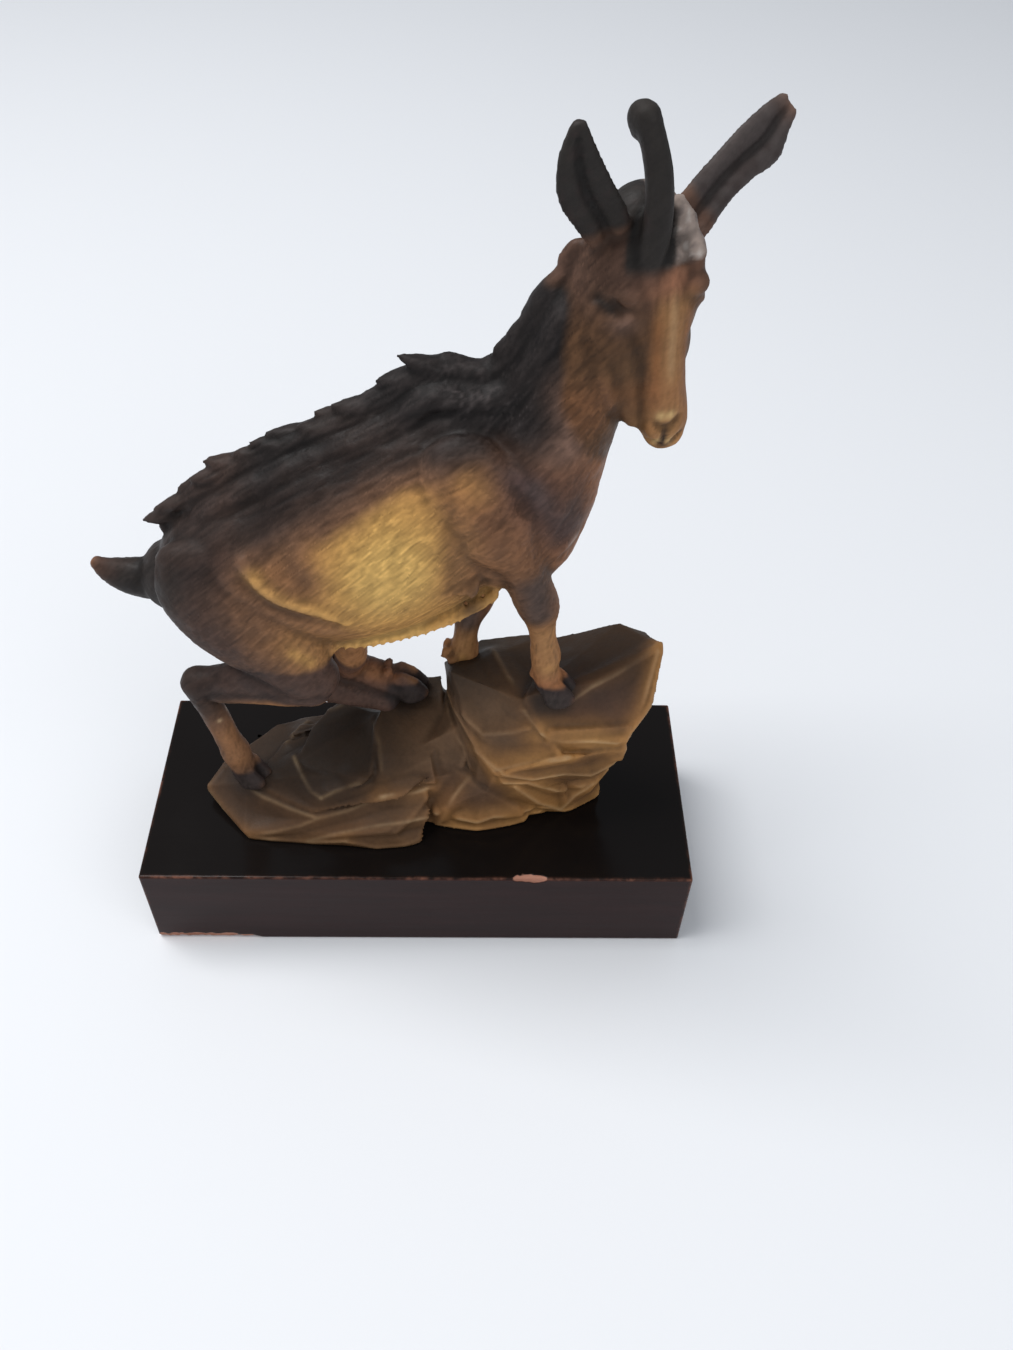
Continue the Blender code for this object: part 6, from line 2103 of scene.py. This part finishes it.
@dataclass
class Block:
    """The lacquered block, with a chip in its front top edge and a torn lower front edge."""

    low: np.ndarray
    high: np.ndarray
    edge: float = 0.0005
    chip: tuple[float, float] = (0.0206, 0.0282)
    chip_depth: float = 0.0011
    tear: tuple[float, float] = (-0.0590, -0.0350)
    tear_height: float = 0.0018
    tear_swing: float = 0.0009
    broken_depth: float = 0.00035
    spans: int = 64
    band: float = 0.0026
    band_step: float = 0.00018
    chip_step: float = 0.0002
    tear_step: float = 0.00035
    least_step: float = 4e-5
    rub_width: float = 0.00045

    def stops(self, axis: int) -> np.ndarray:
        """Return where the grid's lines cross an axis, close at its ends and at the damage."""
        low, high = self.low[axis], self.high[axis]
        ends = np.arange(0, self.band, self.band_step)
        parts = [np.linspace(low, high, self.spans), low + ends, high - ends]
        if axis == 0:
            parts += [np.arange(self.chip[0] - 0.002, self.chip[1] + 0.002, self.chip_step)]
            parts += [np.arange(self.tear[0], self.tear[1] + 0.003, self.tear_step)]
        stops = np.unique(np.concatenate(parts))
        keep = np.concatenate([[True], np.diff(stops) > self.least_step])
        keep[-1] = True
        return stops[keep]

    def shell(self) -> tuple[np.ndarray, np.ndarray]:
        """Fold a grid over the box: one grid a side, merged where they share a line."""
        stops = [self.stops(axis) for axis in range(3)]
        quads = []
        for axis in range(3):
            first, second = (axis + 1) % 3, (axis + 2) % 3
            spans = (np.arange(len(stops[k]) - 1) for k in (first, second))
            i, j = np.meshgrid(*spans, indexing="ij")
            for end in (0, len(stops[axis]) - 1):
                ring = ((0, 0), (1, 0), (1, 1), (0, 1)) if end else ((0, 0), (0, 1), (1, 1), (1, 0))
                corners = np.empty((*i.shape, 4, 3), dtype=int)
                for turn, (a, b) in enumerate(ring):
                    corners[..., turn, axis] = end
                    corners[..., turn, first] = i + a
                    corners[..., turn, second] = j + b
                quads.append(corners.reshape(-1, 4, 3))
        corners = np.concatenate(quads)
        keys, faces = np.unique(corners.reshape(-1, 3), axis=0, return_inverse=True)
        places = np.stack([stops[axis][keys[:, axis]] for axis in range(3)], axis=1)
        return places, faces.reshape(-1, 4)

    def damage(self, places: np.ndarray) -> np.ndarray:
        """Return how bare each point is: the chip in the top edge and the torn strip below.

        Each patch is the distance from its edge less a ragged reach of noise, as a soft step.
        """
        x, y, z = places.T
        rag = mottle(places, RAGGED)
        front = y - self.low[1]
        middle, half = sum(self.chip) / 2, (self.chip[1] - self.chip[0]) / 2
        bow = np.clip(1 - ((x - middle) / half) ** 2, 0, 1)
        reach = self.chip_depth * bow**0.5 * (1 + 0.5 * rag)
        chip = ramp(self.high[2] - z + 0.8 * front - reach, 0.0001, -0.0002) * (bow > 0)
        along = ramp(x, self.tear[1], self.tear[1] - 0.006) * ramp(x, self.tear[0] - 0.002, self.tear[0])
        reach = (self.tear_height + self.tear_swing * rag) * along
        tear = ramp(z - self.low[2] + 0.6 * front - reach, 0.0001, -0.0002) * (along > 0.02)
        return np.maximum(chip, tear)

    def build(self) -> bpy.types.Object:
        """Fold the skin, round its edges, break out the damage and note worn and bare places."""
        flat, faces = self.shell()
        core = np.clip(flat, self.low + self.edge, self.high - self.edge)
        out = flat - core
        far = np.linalg.norm(out, axis=1)[:, None]
        places = core + out / np.maximum(far, TINY) * np.minimum(far, self.edge)
        bare = self.damage(flat)
        inward = unit((0, 1, -0.7)) * np.where(flat[:, 2:] > flat[:, 2:].mean(), 1, (1, 1, -1))
        depth = self.broken_depth * (1 + 0.5 * cloud(flat / 0.0009, 73))
        places = places + (bare * depth)[:, None] * inward
        places[:, 2] = np.maximum(places[:, 2], self.low[2])
        gaps = np.sort(np.minimum(flat - self.low, self.high - flat), axis=1)
        patch = 0.5 + 0.9 * cloud(flat / 0.0030, 74) + 0.4 * cloud(flat / 0.0009, 75)
        corner = ramp(gaps[:, 2], 0.006, 0.0)
        worn = np.exp(-((gaps[:, 1] / self.rub_width) ** 2)) * np.clip(patch + 0.6 * corner, 0.08, 1)
        data = bpy.data.meshes.new("lacquered_block")
        data.from_pydata(places.tolist(), [], faces.tolist())
        data.shade_smooth()
        upward = ramp(flat[:, 2], self.high[2] - 0.0003, self.high[2] - 0.0001)
        values = {"upward": upward, "rubbed": worn, "bare": bare}
        for key, value in values.items():
            data.attributes.new(key, "FLOAT", "POINT").data.foreach_set("value", value.astype(np.float32))
        piece = bpy.data.objects.new("lacquered_block", data)
        bpy.context.scene.collection.objects.link(piece)
        data.materials.append(LacquerFinish().material())
        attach(piece, "root")
        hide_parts(BLOCK)
        log.info("block: %d faces", len(faces))
        return piece


# Name, place, size in metres and power in watts of each soft light.
LIGHTS = (("key", (-0.48, 0.06, 1.05), 0.7, 12.0), ("fill", (0.55, -0.75, 0.70), 0.9, 4.0))


@dataclass
class Studio:
    """The pale floor, the soft lights and the camera at the photograph's place."""

    floor_size: float = 6.0
    paper: tuple[float, float, float, float] = (0.72, 0.73, 0.75, 1)
    paper_roughness: float = 0.75
    aim_height: float = 0.09
    sky: tuple[float, float, float, float] = (0.86, 0.92, 1.0, 1)
    sky_strength: float = 0.42
    sensor: float = 36.0
    near: float = 0.01
    lens: float = 31.025
    stand: tuple[float, float, float] = (0.01156, -0.16407, 0.24026)
    turn: tuple[float, float, float] = (42.739, -1.619, -0.678)

    def build(self) -> None:
        """Set up the floor, lights, world and camera."""
        bpy.ops.mesh.primitive_plane_add(size=self.floor_size)
        floor = bpy.context.object
        floor.name = "floor"
        paper = bpy.data.materials.new("floor_paper")
        paper.use_nodes = True
        shader = paper.node_tree.nodes["Principled BSDF"]
        shader.inputs["Base Color"].default_value = self.paper
        shader.inputs["Roughness"].default_value = self.paper_roughness
        floor.data.materials.append(paper)
        for name, place, size, power in LIGHTS:
            light = bpy.data.lights.new(name, "AREA")
            light.energy = power
            light.size = size
            lamp = bpy.data.objects.new(name, light)
            lamp.location = place
            aim = -lamp.location
            aim.z += self.aim_height
            lamp.rotation_euler = aim.to_track_quat("-Z", "Y").to_euler()
            bpy.context.scene.collection.objects.link(lamp)
        world = bpy.data.worlds.new("room")
        world.use_nodes = True
        sky = world.node_tree.nodes["Background"]
        sky.inputs["Color"].default_value = self.sky
        sky.inputs["Strength"].default_value = self.sky_strength
        bpy.context.scene.world = world
        lens = bpy.data.cameras.new("camera")
        lens.lens = self.lens
        lens.sensor_width = self.sensor
        lens.clip_start = self.near
        camera = bpy.data.objects.new("camera", lens)
        camera.location = self.stand
        camera.rotation_euler = Euler([math.radians(angle) for angle in self.turn], "XYZ")
        bpy.context.scene.collection.objects.link(camera)
        bpy.context.scene.camera = camera
        bpy.context.scene.view_settings.view_transform = "Standard"


def main() -> None:
    """Build the studio and every piece, reading the block's box from the solid model."""
    logging.basicConfig(level=logging.INFO, format="%(name)s: %(message)s")
    Studio().build()
    low, high = (np.array(corner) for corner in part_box(BLOCK))
    Block(low, high).build()
    pose = Pose(block_top=float(high[2]))
    Rock(pose).build()
    Hide(pose).build()


if __name__ == "__main__":
    main()
